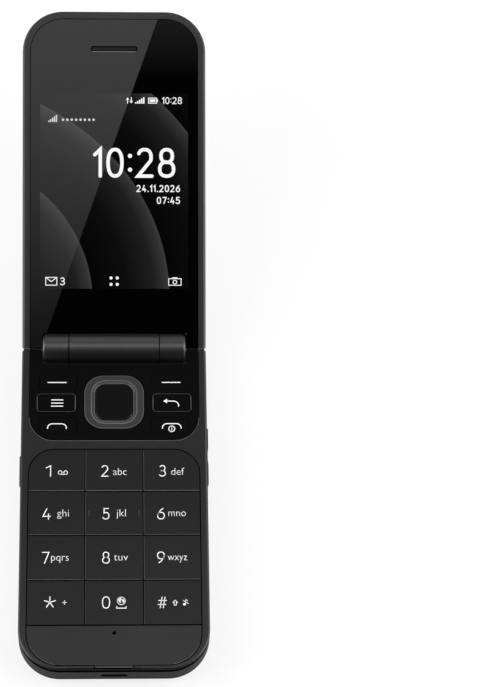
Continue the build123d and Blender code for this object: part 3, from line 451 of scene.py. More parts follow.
OWN_FINISHES = {  # parts a shade apart from the rest of their slot
    "nav_ring": grained("satin_ring", grey(0.016), grey(0.019), SATIN, 9000, 20, 0.15),
    "volume_rocker": grained("matte_side_keys", grey(0.003), grey(0.004), (0.5, 0.6), 7000, 22, 0.25, 0.02),
    "chin_panel": grained("satin_chin", grey(0.004), grey(0.006), CAPS, 7000, 22, 0.25, 0.46),
    "centre_key": grained("gloss_centre", grey(0.0035), grey(0.004), GLOSS, 9000, 30),
    # The lid's frame is the frame's satin painted lighter, standing in for the light that its edges catch.
    "lid_frame": grained("satin_lid_frame", grey(0.011), grey(0.013), SATIN, 9000, 20, 0.15, 0.45),
    "lid_back_cover": grained("satin_lid_cover", grey(0.008), grey(0.010), (0.30, 0.34), 9000, 20, 0.2, 0.36),
}
OWN_FINISHES["side_key"] = OWN_FINISHES["volume_rocker"]
print("finishes:", sorted(FINISHES))

# %% [markdown]
# The barrel of the hinge is painted with a metallic lacquer, so it is lighter than the plastic
# beside it, and its highlight is soft and broad. It belongs to the base's frame and to the
# lid at once. So the lacquer is laid by place in their shared finishes: it covers what lies
# within the barrel's radius of the hinge axis.
# %% Lacquered barrel
BARREL_R = 4.45 * MM
BARREL_HALF = 21.05 * MM


def lacquer(made, metal=0.080, rough=0.42):
    """Turns what lies on the barrel of the hinge into a dark metallic lacquer."""
    tree = made.node_tree
    shader = tree.nodes["Principled BSDF"]
    place = add_node(tree, "ShaderNodeTexCoord").outputs["Object"]
    parts = add_node(tree, "ShaderNodeSeparateXYZ", {"Vector": place}).outputs
    across = math_of(tree, "SUBTRACT", parts["Y"], HINGE.y)
    above = math_of(tree, "SUBTRACT", parts["Z"], HINGE.z)
    squares = [math_of(tree, "MULTIPLY", value, value) for value in (across, above)]
    reach = math_of(tree, "SQRT", math_of(tree, "ADD", *squares))
    near = math_of(tree, "LESS_THAN", reach, BARREL_R)
    inside = math_of(tree, "LESS_THAN", math_of(tree, "ABSOLUTE", parts["X"]), BARREL_HALF)
    mask = math_of(tree, "MULTIPLY", near, inside)
    for socket, value, kind in (
        ("Base Color", (*grey(metal), 1), "RGBA"), ("Roughness", rough, "FLOAT"), ("Metallic", 1.0, "FLOAT"),
    ):
        links = shader.inputs[socket].links
        before = links[0].from_socket if links else 0.0
        tree.links.new(mixed(tree, mask, before, value, kind), shader.inputs[socket])


for made in (FINISHES["satin_frame"], OWN_FINISHES["lid_frame"], OWN_FINISHES["lid_back_cover"]):
    lacquer(made)
print("barrel: radius", round(BARREL_R / MM, 2), "mm")

# %% [markdown]
# The CAD parts arrive as loose triangles. A dressed part is a merged copy of one: its flat
# faces are made whole again, and its normals run smoothly over the narrow bevels, so a
# bevel of half a millimetre reads as the soft moulded edge that it is on a real phone.
# %% Dress the CAD parts
SLOTS = {row["node"]: row["material_slot"] for row in frame["record"]["subparts"]}
BODIES = {name: node.parent.name.split(":")[1] for name, node in nodes.items()}
MERGE = 0.001 * MM


def dressed(node, finish=None, smooth=50):
    """A clean copy of a CAD part, with soft normals where faces meet at less than an angle."""
    work = bmesh.new()
    work.from_mesh(nodes[node].data)
    bmesh.ops.remove_doubles(work, verts=work.verts, dist=MERGE)
    bmesh.ops.dissolve_limit(work, angle_limit=radians(0.3), verts=work.verts, edges=work.edges)
    work.verts.index_update()
    points = [vertex.co.copy() for vertex in work.verts]
    faces = [[vertex.index for vertex in face.verts] for face in work.faces]
    work.free()
    piece = mesh_object(f"{node}_dressed", points, faces)
    piece.data.shade_smooth()
    piece.data.set_sharp_from_angle(angle=radians(smooth))
    weights = piece.modifiers.new("flat_faces_stay_flat", "WEIGHTED_NORMAL")
    weights.keep_sharp = True
    weights.weight = 100
    piece.data.materials.append(finish or FINISHES[SLOTS[node]])
    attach(piece, BODIES[node])
    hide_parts(node)
    return piece


OUTSIDE = [
    "base_front_frame", "base_rear_housing", "fascia_panel", "chin_panel", "battery_cover",
    "lid_frame", "lid_back_cover", "nav_ring", "centre_key", "volume_rocker", "side_key",
    "left_soft_key", "right_soft_key", "menu_key", "back_key", "call_key", "end_key",
    "hinge_caps", "hinge_shaft", "hinge_tube", "hinge_cartridge", "vibration_motor",
    "camera_module", "battery",
]
NUMBER_KEYS = [name for name in nodes if name.startswith("key_")]
for node in OUTSIDE + NUMBER_KEYS:
    dressed(node, OWN_FINISHES.get(node))
for node, obj in nodes.items():
    if SLOTS[node] in FINISHES:
        obj.material_slots[0].material = FINISHES[SLOTS[node]]
print("dressed:", len(OUTSIDE) + len(NUMBER_KEYS), "of", len(nodes))

# %% [markdown]
# The windows are black from outside, with a picture shining through part of them. The
# picture is made inside the glass's own material: a mask picks the shown rectangle on the
# outer face, a drawing of soft overlapping arcs fills it, and the gloss lies over it all.
# %% The shown rectangle
def lid_coordinates(tree):
    """Coordinates square to the lid, in metres from the hinge axis."""
    place = add_node(tree, "ShaderNodeTexCoord").outputs["Object"]
    hinge_place = Matrix.Rotation(-TILT, 3, "X") @ HINGE
    return add_node(tree, "ShaderNodeMapping", {
        "Vector": place, "Rotation": (-TILT, 0, 0), "Location": -hinge_place,
    }).outputs["Vector"]


SHOWN = {"Half Width": 22.0 * MM, "Start": 17.9 * MM, "End": 76.2 * MM, "Face": -0.35 * MM}
pane_group, taken, given = new_group("shown_rectangle", SHOWN, ["Mask"])
parts = add_node(pane_group, "ShaderNodeSeparateXYZ", {"Vector": taken.outputs["Coordinates"]}).outputs
across = math_of(pane_group, "ABSOLUTE", parts["X"])
tests = [
    math_of(pane_group, "LESS_THAN", across, taken.outputs["Half Width"]),
    math_of(pane_group, "GREATER_THAN", parts["Y"], taken.outputs["Start"]),
    math_of(pane_group, "LESS_THAN", parts["Y"], taken.outputs["End"]),
    math_of(pane_group, "GREATER_THAN", parts["Z"], taken.outputs["Face"]),
]
mask = tests[0]
for test in tests[1:]:
    mask = math_of(pane_group, "MULTIPLY", mask, test)
pane_group.links.new(mask, given.inputs["Mask"])
print("shown rectangle:", round(2000 * SHOWN["Half Width"]), "mm wide")

# %% [markdown]
# Black window glass is a smooth dark gloss. In the inner one a wave texture in rings draws the
# soft arcs: a saw profile gives each ring one soft side and one clear edge. The rings' centre
# lies off the picture, so that only parts of three discs are seen.
# %% Window glass
ARC_CENTRE = (0.052, -0.012, 0)
ARC_GREYS = [(0.0, 0.0008), (0.45, 0.003), (0.8, 0.012), (0.95, 0.03), (1.0, 0.045)]


def black_glass(name):
    """Black window glass: hard, smooth and faintly reflective."""
    made, tree, shader = new_material(name)
    shader.inputs["Base Color"].default_value = (*grey(0.0005), 1)
    shader.inputs["Roughness"].default_value = 0.006
    return made, tree, shader


inner_glass, tree, shader = black_glass("inner_window_glass")
square = lid_coordinates(tree)
pane = add_node(tree, "ShaderNodeGroup", {"Coordinates": square, **SHOWN}, node_tree=pane_group)
centred = add_node(tree, "ShaderNodeMapping", {"Vector": square, "Location": ARC_CENTRE})
arcs = add_node(
    tree, "ShaderNodeTexWave",
    {"Vector": centred.outputs["Vector"], "Scale": 14.0, "Distortion": 1.2, "Detail": 0.0, "Detail Scale": 0.6},
    wave_type="RINGS", rings_direction="Z", wave_profile="SAW",
)
wallpaper = ramp_of(tree, arcs.outputs["Fac"], ARC_GREYS)
shown = mixed(tree, pane.outputs["Mask"], (0, 0, 0, 1), wallpaper)
tree.links.new(shown, shader.inputs["Emission Color"])
shader.inputs["Emission Strength"].default_value = 1.0
dressed("inner_window", inner_glass, smooth=25)

outer_glass = black_glass("outer_window_glass")[0]
dressed("outer_window", outer_glass, smooth=60)
nodes["camera_window"].material_slots[0].material = black_glass("camera_window_glass")[0]
for node in ("main_display", "outer_display"):
    nodes[node].material_slots[0].material = outer_glass
print("windows: inner and outer")

# %% [markdown]
# Printed and lit marks are thin solids, a few hundredths of a millimetre proud, so they stay
# crisp at any size. A mark is drawn on paper first, x to the right and y up, as strokes of an
# even width with round ends and as filled outlines. These are the drawing tools.
# %% Strokes and fills
CAP_STEPS = (0.5, 0.87, 1.0)  # where a round end is cut across, as shares of its radius


def arc(x, y, radius_x, radius_y, start, end, steps=10):
    """Points on part of an ellipse; angles in degrees, anticlockwise from the right."""
    angles = [radians(start + (end - start) * step / steps) for step in range(steps + 1)]
    return [(x + radius_x * cos(a), y + radius_y * sin(a)) for a in angles]


def stroke(points, width, closed=False):
    """A line of even width: pairs of points to its left and right, with round ends."""
    line = [Vector(point) for point in points]
    half = [width / 2] * len(line)
    if not closed:
        for end, neighbour in ((0, 1), (-1, -2)):
            tip = line[end]
            outward = (tip - line[neighbour]).normalized() * width / 2
            for step in CAP_STEPS:
                place = 0 if end == 0 else len(line)
                line.insert(place, tip + outward * step)
                half.insert(place, width / 2 * max((1 - step * step) ** 0.5, 0.05))
    sections = []
    count = len(line)
    for i, point in enumerate(line):
        before = line[i - 1] if closed or i else point
        after = line[(i + 1) % count] if closed or i < count - 1 else point
        first, second = (point - before).normalized(), (after - point).normalized()
        along = (first + second).normalized()
        straight = max(along.dot(second if second.length else first), 0.35)
        side = Vector((-along.y, along.x)) * half[i] / straight
        sections.append((point + side, point - side))
    return ("strip", sections, closed)


def fill(points):
    """A filled outline."""
    return ("face", [Vector(point) for point in points], True)


def dot(x, y, radius, sides=16):
    """A filled disc."""
    return fill(arc(x, y, radius, radius, 0, 360 - 360 / sides, sides - 1))


def circle(x, y, radius_x, radius_y, width, sides=24):
    """A closed line of even width round a circle or an ellipse."""
    return stroke(arc(x, y, radius_x, radius_y, 0, 360 - 360 / sides, sides - 1), width, True)


def box_fill(x0, y0, x1, y1):
    """A filled rectangle."""
    return fill([(x0, y0), (x1, y0), (x1, y1), (x0, y1)])


print("shapes: stroke, fill, dot, circle, box_fill")

# %% [markdown]
# A drawing then becomes one thin closed mesh. Each point of the paper is placed twice, just
# below the surface and just above it, so the ink is seated and no face lies in another's plane.
# A `place` function turns paper into a key's top or a window's face.
# %% Marks
def mark(name, shapes, place, part, finish, thickness=0.03):
    """One thin solid of all the shapes, riding on the body of a CAD part, in the given finish."""
    work = bmesh.new()
    for kind, drawn, closed in shapes:
        if kind == "face":
            levels = [
                [work.verts.new(place(point.x, point.y, height)) for point in drawn]
                for height in (-thickness / 2, thickness)
            ]
            work.faces.new(levels[0])
            work.faces.new(reversed(levels[1]))
            for i in range(len(drawn)):
                j = (i + 1) % len(drawn)
                work.faces.new((levels[0][i], levels[0][j], levels[1][j], levels[1][i]))
            continue
        rows = []
        for left, right in drawn:
            corners = ((left, -thickness / 2), (right, -thickness / 2), (right, thickness), (left, thickness))
            rows.append([work.verts.new(place(point.x, point.y, height)) for point, height in corners])
        for i in range(len(rows) if closed else len(rows) - 1):
            one, two = rows[i], rows[(i + 1) % len(rows)]
            for k in range(4):
                work.faces.new((one[k], one[(k + 1) % 4], two[(k + 1) % 4], two[k]))
        if not closed:
            work.faces.new(rows[0])
            work.faces.new(rows[-1])
    bmesh.ops.recalc_face_normals(work, faces=work.faces)
    mesh = bpy.data.meshes.new(name)
    work.to_mesh(mesh)
    work.free()
    mesh.materials.append(finish)
    piece = link(bpy.data.objects.new(name, mesh))
    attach(piece, BODIES[part])


print("marks: thin solids of strokes and fills")

# %% [markdown]
# The numbers are drawn stroke by stroke in a box one unit wide and one unit high, like the
# letters of a draughtsman's stencil. The box is then stretched to the size wanted while the
# stroke's width stays even, so thin keypad numbers and the heavy clock share one set.
# %% Numbers
def bowl(x, y, radius_x, radius_y, start, end, steps=14):
    """Part of an oval a little squarer than an ellipse."""
    points = []
    for step in range(steps + 1):
        a = radians(start + (end - start) * step / steps)
        c, s = cos(a), sin(a)
        points.append((
            x + radius_x * abs(c) ** 0.85 * (1 if c > 0 else -1),
            y + radius_y * abs(s) ** 0.85 * (1 if s > 0 else -1),
        ))
    return points


def oval(x, y, radius_x, radius_y):
    """A whole bowl, closed."""
    return bowl(x, y, radius_x, radius_y, 0, 345, 23), True


SIX = [(0.80, 0.98), (0.52, 0.86), (0.28, 0.68), (0.11, 0.50), (0.02, 0.34)]
NUMERALS = {
    "0": [oval(0.5, 0.5, 0.5, 0.5)],
    "1": [([(0.0, 0.80), (1.0, 1.0), (1.0, 0.0)], False)],
    "2": [(bowl(0.48, 0.71, 0.46, 0.29, 155, -22, 10) + [(0.0, 0.0), (1.0, 0.0)], False)],
    "3": [
        (bowl(0.44, 0.755, 0.48, 0.245, 150, -88, 10) + [(0.25, 0.51)], False),
        (bowl(0.42, 0.255, 0.58, 0.255, 88, -150, 10), False),
    ],
    "4": [([(0.52, 1.0), (0.0, 0.27), (1.0, 0.27)], False), ([(0.74, 0.5), (0.74, 0.0)], False)],
    "5": [([(0.90, 1.0), (0.14, 1.0), (0.10, 0.56)] + bowl(0.42, 0.31, 0.58, 0.31, 98, -148, 11), False)],
    "6": [(SIX, False), oval(0.5, 0.31, 0.5, 0.31)],
    "7": [([(0.0, 1.0), (1.0, 1.0), (0.32, 0.0)], False)],
    "8": [oval(0.5, 0.76, 0.41, 0.24), oval(0.5, 0.265, 0.5, 0.265)],
    "9": [([(1 - x, 1 - y) for x, y in SIX], False), oval(0.5, 0.69, 0.5, 0.31)],
}


def numeral(sign, x0, x1, y0, y1, width):
    """One number in the box from (x0, y0) to (x1, y1), measured over its strokes."""
    half = width / 2
    spanned = []
    for points, closed in NUMERALS[sign]:
        scaled = [
            (x0 + half + x * (x1 - x0 - width), y0 + half + y * (y1 - y0 - width)) for x, y in points
        ]
        spanned.append(stroke(scaled, width, closed))
    return spanned


print("numbers:", "".join(NUMERALS))

# %% [markdown]
# Clocks and dates are rows of numbers that end at the right, as on the real screens. So a row is
# laid from its last number to its first, and a narrow 1 moves only what stands to its left.
# %% Rows of numbers
ONE_SHARE = 0.52  # a 1 takes about half of a number's width
DOT_STEP, DOT_RADIUS = 1.15, 0.62  # of a colon's or a full stop's dots, in stroke widths
COLON_LEVELS = (0.27, 0.73)


def figures(text, right, y0, height, digit, width, gap):
    """A row of numbers that ends at x = right."""
    shapes = []
    x = right
    for sign in reversed(text):
        if sign in ":.":
            x -= width * DOT_STEP
            middle = x + width * DOT_STEP / 2
            for level in COLON_LEVELS if sign == ":" else (0.0,):
                shapes.append(dot(middle, y0 + max(level * height, width * 0.6), width * DOT_RADIUS))
        else:
            across = digit * (ONE_SHARE if sign == "1" else 1.0)
            x -= across
            shapes += numeral(sign, x, x + across, y0, y0 + height, width)
        x -= gap
    return shapes


print("rows of numbers: right edge first")

# %% [markdown]
# The keypad's small letters are the ones that every telephone keypad carries. They come from
# Blender's own typeface, thinned a little, made a mesh and fitted to their place.
# %% Letters
TYPE_X_HEIGHT = 0.449  # of the typeface's small letters, at its own size
TYPE_THINNED = 0.016


def letters(text, x0, x1, y_base, x_height):
    """A word's outlines as filled triangles, fitted between x0 and x1 on its base line."""
    curve = bpy.data.curves.new("word", "FONT")
    curve.body = text
    curve.offset = -TYPE_THINNED
    curve.resolution_u = 4
    word = bpy.data.objects.new("word", curve)
    mesh = bpy.data.meshes.new_from_object(word)
    xs = [vertex.co.x for vertex in mesh.vertices]
    low, high = min(xs), max(xs)
    scale_x = (x1 - x0) / (high - low)
    scale_y = x_height / TYPE_X_HEIGHT
    flat = [(x0 + (v.co.x - low) * scale_x, y_base + v.co.y * scale_y) for v in mesh.vertices]
    faces = [[flat[index] for index in polygon.vertices] for polygon in mesh.polygons]
    bpy.data.objects.remove(word)
    bpy.data.curves.remove(curve)
    bpy.data.meshes.remove(mesh)
    return [fill(face) for face in faces]


print("letters from the built-in typeface")

# %% [markdown]
# Keypad ink is a matt light grey, printed or lit from behind through the cap. The
# pictures' own marks give off light, and lie under the same gloss as the glass.
# %% Ink and light
ink = grained("key_ink", grey(0.80), grey(0.86), (0.45, 0.55), 8000, 60)


def lit(name, strength):
    """A glowing mark under glass."""
    made, tree, shader = new_material(name)
    shader.inputs["Base Color"].default_value = (0.002, 0.002, 0.002, 1)
    shader.inputs["Roughness"].default_value = 0.03
    shader.inputs["Emission Color"].default_value = (1, 1, 1, 1)
    shader.inputs["Emission Strength"].default_value = strength
    return made


bright = lit("lit_white", 0.95)
soft = lit("lit_grey", 0.62)
print("ink, bright and soft light")

# %% [markdown]
# Some number keys carry a small sign as well: two reels of tape for messages, a plus, a globe
# over a space bar, a shift arrow and a crossed note for silence. The star and the hash are
# drawn here too, because they are strokes like the signs. Sizes are millimetres on paper.
# %% Small signs of the keypad
SIGN_STROKES = {  # key: lines of (points, width, closed)
    "key_1": [([(-15.67, -40.38), (-14.07, -40.38)], 0.22, False)],
    "key_star": [
        ([(-14.6, -79.95), (-13.58, -79.95)], 0.21, False),
        ([(-14.09, -80.5), (-14.09, -79.4)], 0.21, False),
    ],
    "key_0": [([(0.72, -81.2), (0.72, -81.72), (3.4, -81.72), (3.4, -81.2)], 0.25, False)],
    "key_hash": [
        ([(13.07, -81.68), (13.6, -78.42)], 0.25, False),
        ([(13.95, -81.68), (14.48, -78.42)], 0.25, False),
        ([(12.68, -79.45), (14.92, -79.45)], 0.25, False),
        ([(12.46, -80.67), (14.7, -80.67)], 0.25, False),
        ([
            (17.36, -79.38), (16.73, -80.06), (17.06, -80.06), (17.06, -80.88),
            (17.66, -80.88), (17.66, -80.06), (17.99, -80.06),
        ], 0.19, True),
        ([(20.36, -79.12), (20.36, -80.6)], 0.2, False),
        ([(20.36, -79.12), (20.86, -79.58)], 0.17, False),
        ([(19.66, -79.48), (21.1, -80.42)], 0.17, False),
    ],
}
extras = {name: [stroke(*line) for line in SIGN_STROKES.get(name, [])] for name in NUMBER_KEYS}
REEL = (0.53, 0.59)  # half width and half height of a reel of tape
for x in (-15.67, -14.07):
    extras["key_1"].append(circle(x, -39.79, *REEL, 0.22, 16))
STAR = (-18.24, -79.9)
STAR_ARM = (1.62, 1.72)
for tip in arc(*STAR, *STAR_ARM, 18, 306, 4):
    extras["key_star"].append(stroke([STAR, tip], 0.28))
GLOBE, GLOBE_R = (2.04, -79.53), 1.14
LAND_SCALE = 0.84
LANDS = [  # two lands on the globe, from its middle
    [
        (-0.95, 0.55), (-0.2, 1.0), (0.15, 0.7), (-0.1, 0.3), (-0.35, 0.0),
        (-0.15, -0.45), (-0.4, -0.9), (-0.7, -0.3), (-1.05, 0.1),
    ],
    [(0.5, 0.75), (1.0, 0.35), (1.05, -0.3), (0.6, -0.75), (0.45, -0.2), (0.15, 0.1)],
]
extras["key_0"].append(circle(*GLOBE, GLOBE_R, GLOBE_R, 0.17))
for land in LANDS:
    extras["key_0"].append(fill([(GLOBE[0] + LAND_SCALE * x, GLOBE[1] + LAND_SCALE * y) for x, y in land]))
extras["key_hash"].append(dot(19.98, -80.62, 0.38))
print("small signs:", sum(len(signs) for signs in extras.values()), "shapes")

# %% [markdown]
# Every number key carries its number and its three or four letters. The boxes below are the
# places of the marks in millimetres: x across the phone, and distances along from the hinge.
# %% Keypad legends
DIGIT_LINE = 0.28
LETTER_HEIGHT = 1.48
KEYPAD = {  # number: its x limits, top and base; letters: their x limits and base
    "key_1": ("1", -19.86, -18.3, 37.48, 41.08, "", 0, 0, 0),
    "key_2": ("2", -3.71, -1.64, 37.48, 41.08, "abc", -0.31, 3.6, 40.6),
    "key_3": ("3", 13.2, 15.02, 37.48, 41.08, "def", 16.57, 20.37, 40.6),
    "key_4": ("4", -20.64, -18.22, 50.95, 54.52, "ghi", -16.44, -13.06, 53.57),
    "key_5": ("5", -3.25, -1.36, 50.95, 54.52, "jkl", 0.66, 3.34, 53.57),
    "key_6": ("6", 12.41, 14.61, 50.95, 54.52, "mno", 15.65, 20.69, 53.57),
    "key_7": ("7", -20.64, -18.52, 64.5, 68.13, "pqrs", -18.02, -13.0, 67.22),
    "key_8": ("8", -3.44, -1.24, 64.5, 68.13, "tuv", -0.06, 3.93, 67.22),
    "key_9": ("9", 12.3, 14.5, 64.5, 68.13, "wxyz", 15.37, 20.9, 67.22),
    "key_0": ("0", -3.45, -1.15, 78.15, 81.83, "", 0, 0, 0),
}


def key_place(height):
    """Paper to the top of a key: y up on the paper is towards the hinge."""
    return lambda x, y, h: on_base(x, -y, height + h)


def key_mark(node, shapes, height=KEY_TOP):
    """Ink on one key."""
    mark(f"{node}_legend", shapes, key_place(height), node, ink)


for node, (sign, x0, x1, top, base, word, word_x0, word_x1, line) in KEYPAD.items():
    shapes = numeral(sign, x0, x1, -base, -top, DIGIT_LINE) + extras[node]
    if word:
        shapes += letters(word, word_x0, word_x1, -line, LETTER_HEIGHT)
    key_mark(node, shapes)
for node in ("key_star", "key_hash"):
    key_mark(node, extras[node])
print("legends on", len(NUMBER_KEYS), "keys")

# %% [markdown]
# The six keys beside the ring carry signs instead of numbers: a line under each choice on the
# screen, three bars for the menu, an arrow to go back, and the handset down and up.
# %% Signs beside the ring
SIGN_LINE = 0.29
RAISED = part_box("menu_key")[1].z / MM
for node, side in (("left_soft_key", -1), ("right_soft_key", 1)):
    key_mark(node, [stroke([(side * 19.5, -10.9), (side * 14.15, -10.9)], SIGN_LINE)], FASCIA_TOP)
bars = [stroke([(-18.38, -along), (-15.08, -along)], SIGN_LINE) for along in (16.6, 17.62, 18.62)]
key_mark("menu_key", bars, RAISED)
bend = [(15.45, -17.02), (17.45, -17.02)] + arc(17.4, -18.47, 1.55, 1.45, 80, 0, 7) + [(18.95, -18.64)]
arrow = [stroke(bend, SIGN_LINE), fill([(14.45, -17.02), (15.55, -16.28), (15.55, -17.76)])]
key_mark("back_key", arrow, RAISED)


def handset(x):
    """The arch of a handset, as seen from the side."""
    left = arc(x - 1.38, -25.6, 1.36, 1.34, 180, 90, 7)
    right = arc(x + 1.38, -25.6, 1.36, 1.34, 90, 0, 7)
    return stroke([(x - 2.74, -25.76), *left, *right, (x + 2.74, -25.76)], SIGN_LINE)


key_mark("call_key", [handset(-16.72)], FASCIA_TOP)
power = [
    handset(16.88),
    circle(16.86, -25.9, 0.88, 0.9, 0.25),
    stroke([(16.86, -26.2), (16.86, -25.6)], 0.24),
]
key_mark("end_key", power, FASCIA_TOP)
print("signs on six keys")

# %% [markdown]
# Every cap has a narrow polished bevel that catches the light as a hairline, finer than a bevel's
# mesh can show. So that highlight is painted: thin lighter strips are laid along those edges. The
# number keys have them at the lower and left edges. The ticks beside the 5 are raised for the
# thumb to find, and a painted highlight lies on their tops.
# %% Painted highlights on the number keys
HAIRLINE_THICK = 0.015


def rounded(x, y, width, length, radius, inset=0.0, steps=6):
    """Points round a rectangle with round corners, inset by a distance."""
    half_x, half_y, radius = width / 2 - inset, length / 2 - inset, max(radius - inset, 0.1)
    points = []
    for start, side_x, side_y in ((0, 1, 1), (90, -1, 1), (180, -1, -1), (270, 1, -1)):
        middle = (x + side_x * (half_x - radius), y + side_y * (half_y - radius))
        points += arc(*middle, radius, radius, start, start + 90, steps)
    return points


def paper_box(node):
    """A base part's middle and size on paper, in millimetres."""
    low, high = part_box(node)
    x, y = (low.x + high.x) / 2 / MM, ((low.y + high.y) / 2 - HINGE.y) / MM
    return x, y, (high.x - low.x) / MM, (high.y - low.y) / MM


def line_round(box, corner, inset, width, steps=6):
    """A closed line round a part's box, inset by a distance."""
    return stroke(rounded(*box, corner, inset, steps), width, True)


def hairline(node, label, shapes, height, finish):
    """Painted highlights: thin lighter strips on one part."""
    mark(f"{node}_{label}", shapes, key_place(height), node, finish, HAIRLINE_THICK)


# Light greys for painted highlights: they stand in for the light that a polished bevel catches.
bevel_light = grained("bevel_sheen", grey(0.15), grey(0.19), (0.3, 0.4), 8000, 60)
bevel_soft_highlight = grained("bevel_soft_sheen", grey(0.05), grey(0.07), (0.3, 0.4), 8000, 60)
ring_light = grained("ring_sheen", grey(0.085), grey(0.11), (0.3, 0.4), 8000, 60)
SECOND_ROW, LAST_ROW = -50, -70  # beyond these a row lies flatter to the light, and its lines are finer
LEFT_COLUMN = -10
for node in NUMBER_KEYS:
    x, y, width, length = paper_box(node)
    low, left = y - length / 2 + 0.09, x - width / 2 + 0.07
    shapes = []
    if y > LAST_ROW:
        ends = [(left + 0.1, low), (x + width / 2 - 0.17, low)]
        shapes.append(stroke(ends, 0.1 if y > SECOND_ROW else 0.06))
    if left > LEFT_COLUMN:
        ends = [(left, low + 0.1), (left, y + length / 2 - 0.2)]
        shapes.append(stroke(ends, 0.05 if y > LAST_ROW else 0.03))
    if shapes:
        hairline(node, "bevel", shapes, KEY_TOP, bevel_light)
# The tops of the two ticks beside the 5 carry a painted highlight.
x, y, width, length = paper_box("key_5")
TICK_OUT, TICK_HALF = 7.2, 0.8
ticks = []
for out in (x - TICK_OUT, x + TICK_OUT):
    ticks.append(stroke([(out, y - TICK_HALF), (out, y + TICK_HALF)], 0.2))
hairline("key_5", "ticks", ticks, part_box("key_5")[1].z / MM, bevel_soft_highlight)
print("hairlines on", len(NUMBER_KEYS), "number keys")

# %% [markdown]
# The two raised keys have a soft painted highlight all round and a brighter one at each end. The
# ring has three painted highlights: at its outer edge, and at the top and the foot of the slope to
# the key in its middle. The fascia's lower edge and the lip of the finger notch catch the light too, and there it is
# painted as well.
# %% Painted highlights round the ring and on the panels
KEY_CORNER, RING_CORNER, CENTRE_CORNER, FASCIA_CORNER = 1.2, 5.6, 2.8, 7.4
for node in ("menu_key", "back_key"):
    x, y, width, length = paper_box(node)
    hairline(node, "bevel", [line_round(paper_box(node), KEY_CORNER, 0.1, 0.09)], RAISED, bevel_soft_highlight)
    shapes = []
    for side in (-1, 1):
        end, reach = x + side * (width / 2 - 0.19), length / 2 - 1.0
        shapes.append(stroke([(end, y - reach), (end, y + reach)], 0.06))
    hairline(node, "bevel_ends", shapes, RAISED, bevel_light)
ring_box, centre_box = paper_box("nav_ring"), paper_box("centre_key")
RING_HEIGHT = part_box("nav_ring")[1].z / MM
rim = line_round(ring_box, RING_CORNER, 0.12, 0.16, 10)
hairline("nav_ring", "rim", [rim], RING_HEIGHT, ring_light)
for label, outset, width, drop in (("slope_top", 1.25, 0.3, 0.0), ("slope_foot", 0.4, 0.16, 0.27)):
    line = line_round(centre_box, CENTRE_CORNER, -outset, width, 10)
    hairline("nav_ring", label, [line], RING_HEIGHT - drop, ring_light)
x, y, width, length = paper_box("fascia_panel")
outline = rounded(x, y, width, length, FASCIA_CORNER, 0.08, 10)
lower = [point for point in outline if point[1] < y - length / 2 + 7.5]
hairline("fascia_panel", "lower_edge", [stroke(lower, 0.09)], FASCIA_TOP, bevel_light)
NOTCH_X = 5.6  # half width of the finger notch in the rim
LIP_X = NOTCH_X - 0.3
lip = [stroke([(-LIP_X, -99.18), (LIP_X, -99.18)], 0.28), stroke([(LIP_X, -99.0), (LIP_X, -99.5)], 0.22)]
hairline("chin_panel", "notch_lip", lip, FACE_TOP - 0.35, bevel_light)
print("hairlines on the raised keys, the ring, the fascia and the notch")

# %% [markdown]
# The gaps between the caps and below them lie in shade, and that shade is painted: strips of a
# black that reflects nothing lie in the gaps, so every gap reads as a thin black line. The first
# strips run round the keypad and between its keys. The one round it is open at the near end, where
# the rim has a notch for the finger that opens the phone, and another strip of painted shade lines the notch.
# %% Painted shade in the keypad's gaps
# A matt black that reflects nothing: painted shade for gaps and recesses.
painted_shade = grained("black_foam", grey(0.0004), grey(0.0006), (0.9, 1.0), 3000, 60, 0.0, 0.0)
FAR_R, NEAR_R = 7.8, 9.85  # the keypad's corners: towards the hinge, and at the near end
KEYPAD_TOP, KEYPAD_LOW = -32.3, -98.95
KEYPAD_HALF = paper_box("chin_panel")[2] / 2 + 0.03
NOTCH_LOW = -99.78
ROW_LIMITS = (45.7, 59.4, 73.2, 86.8)
COLUMN_LIMIT = 8.4


def painted_shade_on_base(name, shapes, height, thickness=0.04):
    """A strip of painted shade on the base, riding on the part that carries it."""
    mark(name, shapes, key_place(height), "base_front_frame", painted_shade, thickness)


outline = [(NOTCH_X, KEYPAD_LOW)]
for start, x, y, radius in (
    (270, KEYPAD_HALF - NEAR_R, KEYPAD_LOW + NEAR_R, NEAR_R),
    (0, KEYPAD_HALF - FAR_R, KEYPAD_TOP - FAR_R, FAR_R),
    (90, FAR_R - KEYPAD_HALF, KEYPAD_TOP - FAR_R, FAR_R),
    (180, NEAR_R - KEYPAD_HALF, KEYPAD_LOW + NEAR_R, NEAR_R),
):
    outline += arc(x, y, radius - 0.04, radius - 0.04, start, start + 90, 12)
outline.append((-NOTCH_X, KEYPAD_LOW))
painted_shade_on_base("keypad_surround_seal", [stroke(outline, 0.36)], KEY_TOP + 0.005, 0.02)
notch = [(-NOTCH_X, KEYPAD_LOW), (-NOTCH_X, NOTCH_LOW), (NOTCH_X, NOTCH_LOW), (NOTCH_X, KEYPAD_LOW)]
painted_shade_on_base("notch_seal", [stroke(notch, 0.24)], FACE_TOP - 0.005, 0.015)
# Painted highlights round the chin's two near corners.
corner_light = []
for side, start in ((-1, 200), (1, 280)):
    middle, radius = (side * (KEYPAD_HALF - NEAR_R), KEYPAD_LOW + NEAR_R), NEAR_R - 0.32
    corner_light.append(stroke(arc(*middle, radius, radius, start, start + 60, 12), 0.06))
hairline("chin_panel", "corner_light", corner_light, KEY_TOP, bevel_light)
crossing = [stroke([(-KEYPAD_HALF, -limit), (KEYPAD_HALF, -limit)], 0.28) for limit in ROW_LIMITS]
crossing += [stroke([(x, KEYPAD_TOP), (x, -ROW_LIMITS[-1])], 0.2) for x in (-COLUMN_LIMIT, COLUMN_LIMIT)]
painted_shade_on_base("keypad_gap_seals", crossing, KEY_TOP - 0.06)
print("seals: keypad and notch")
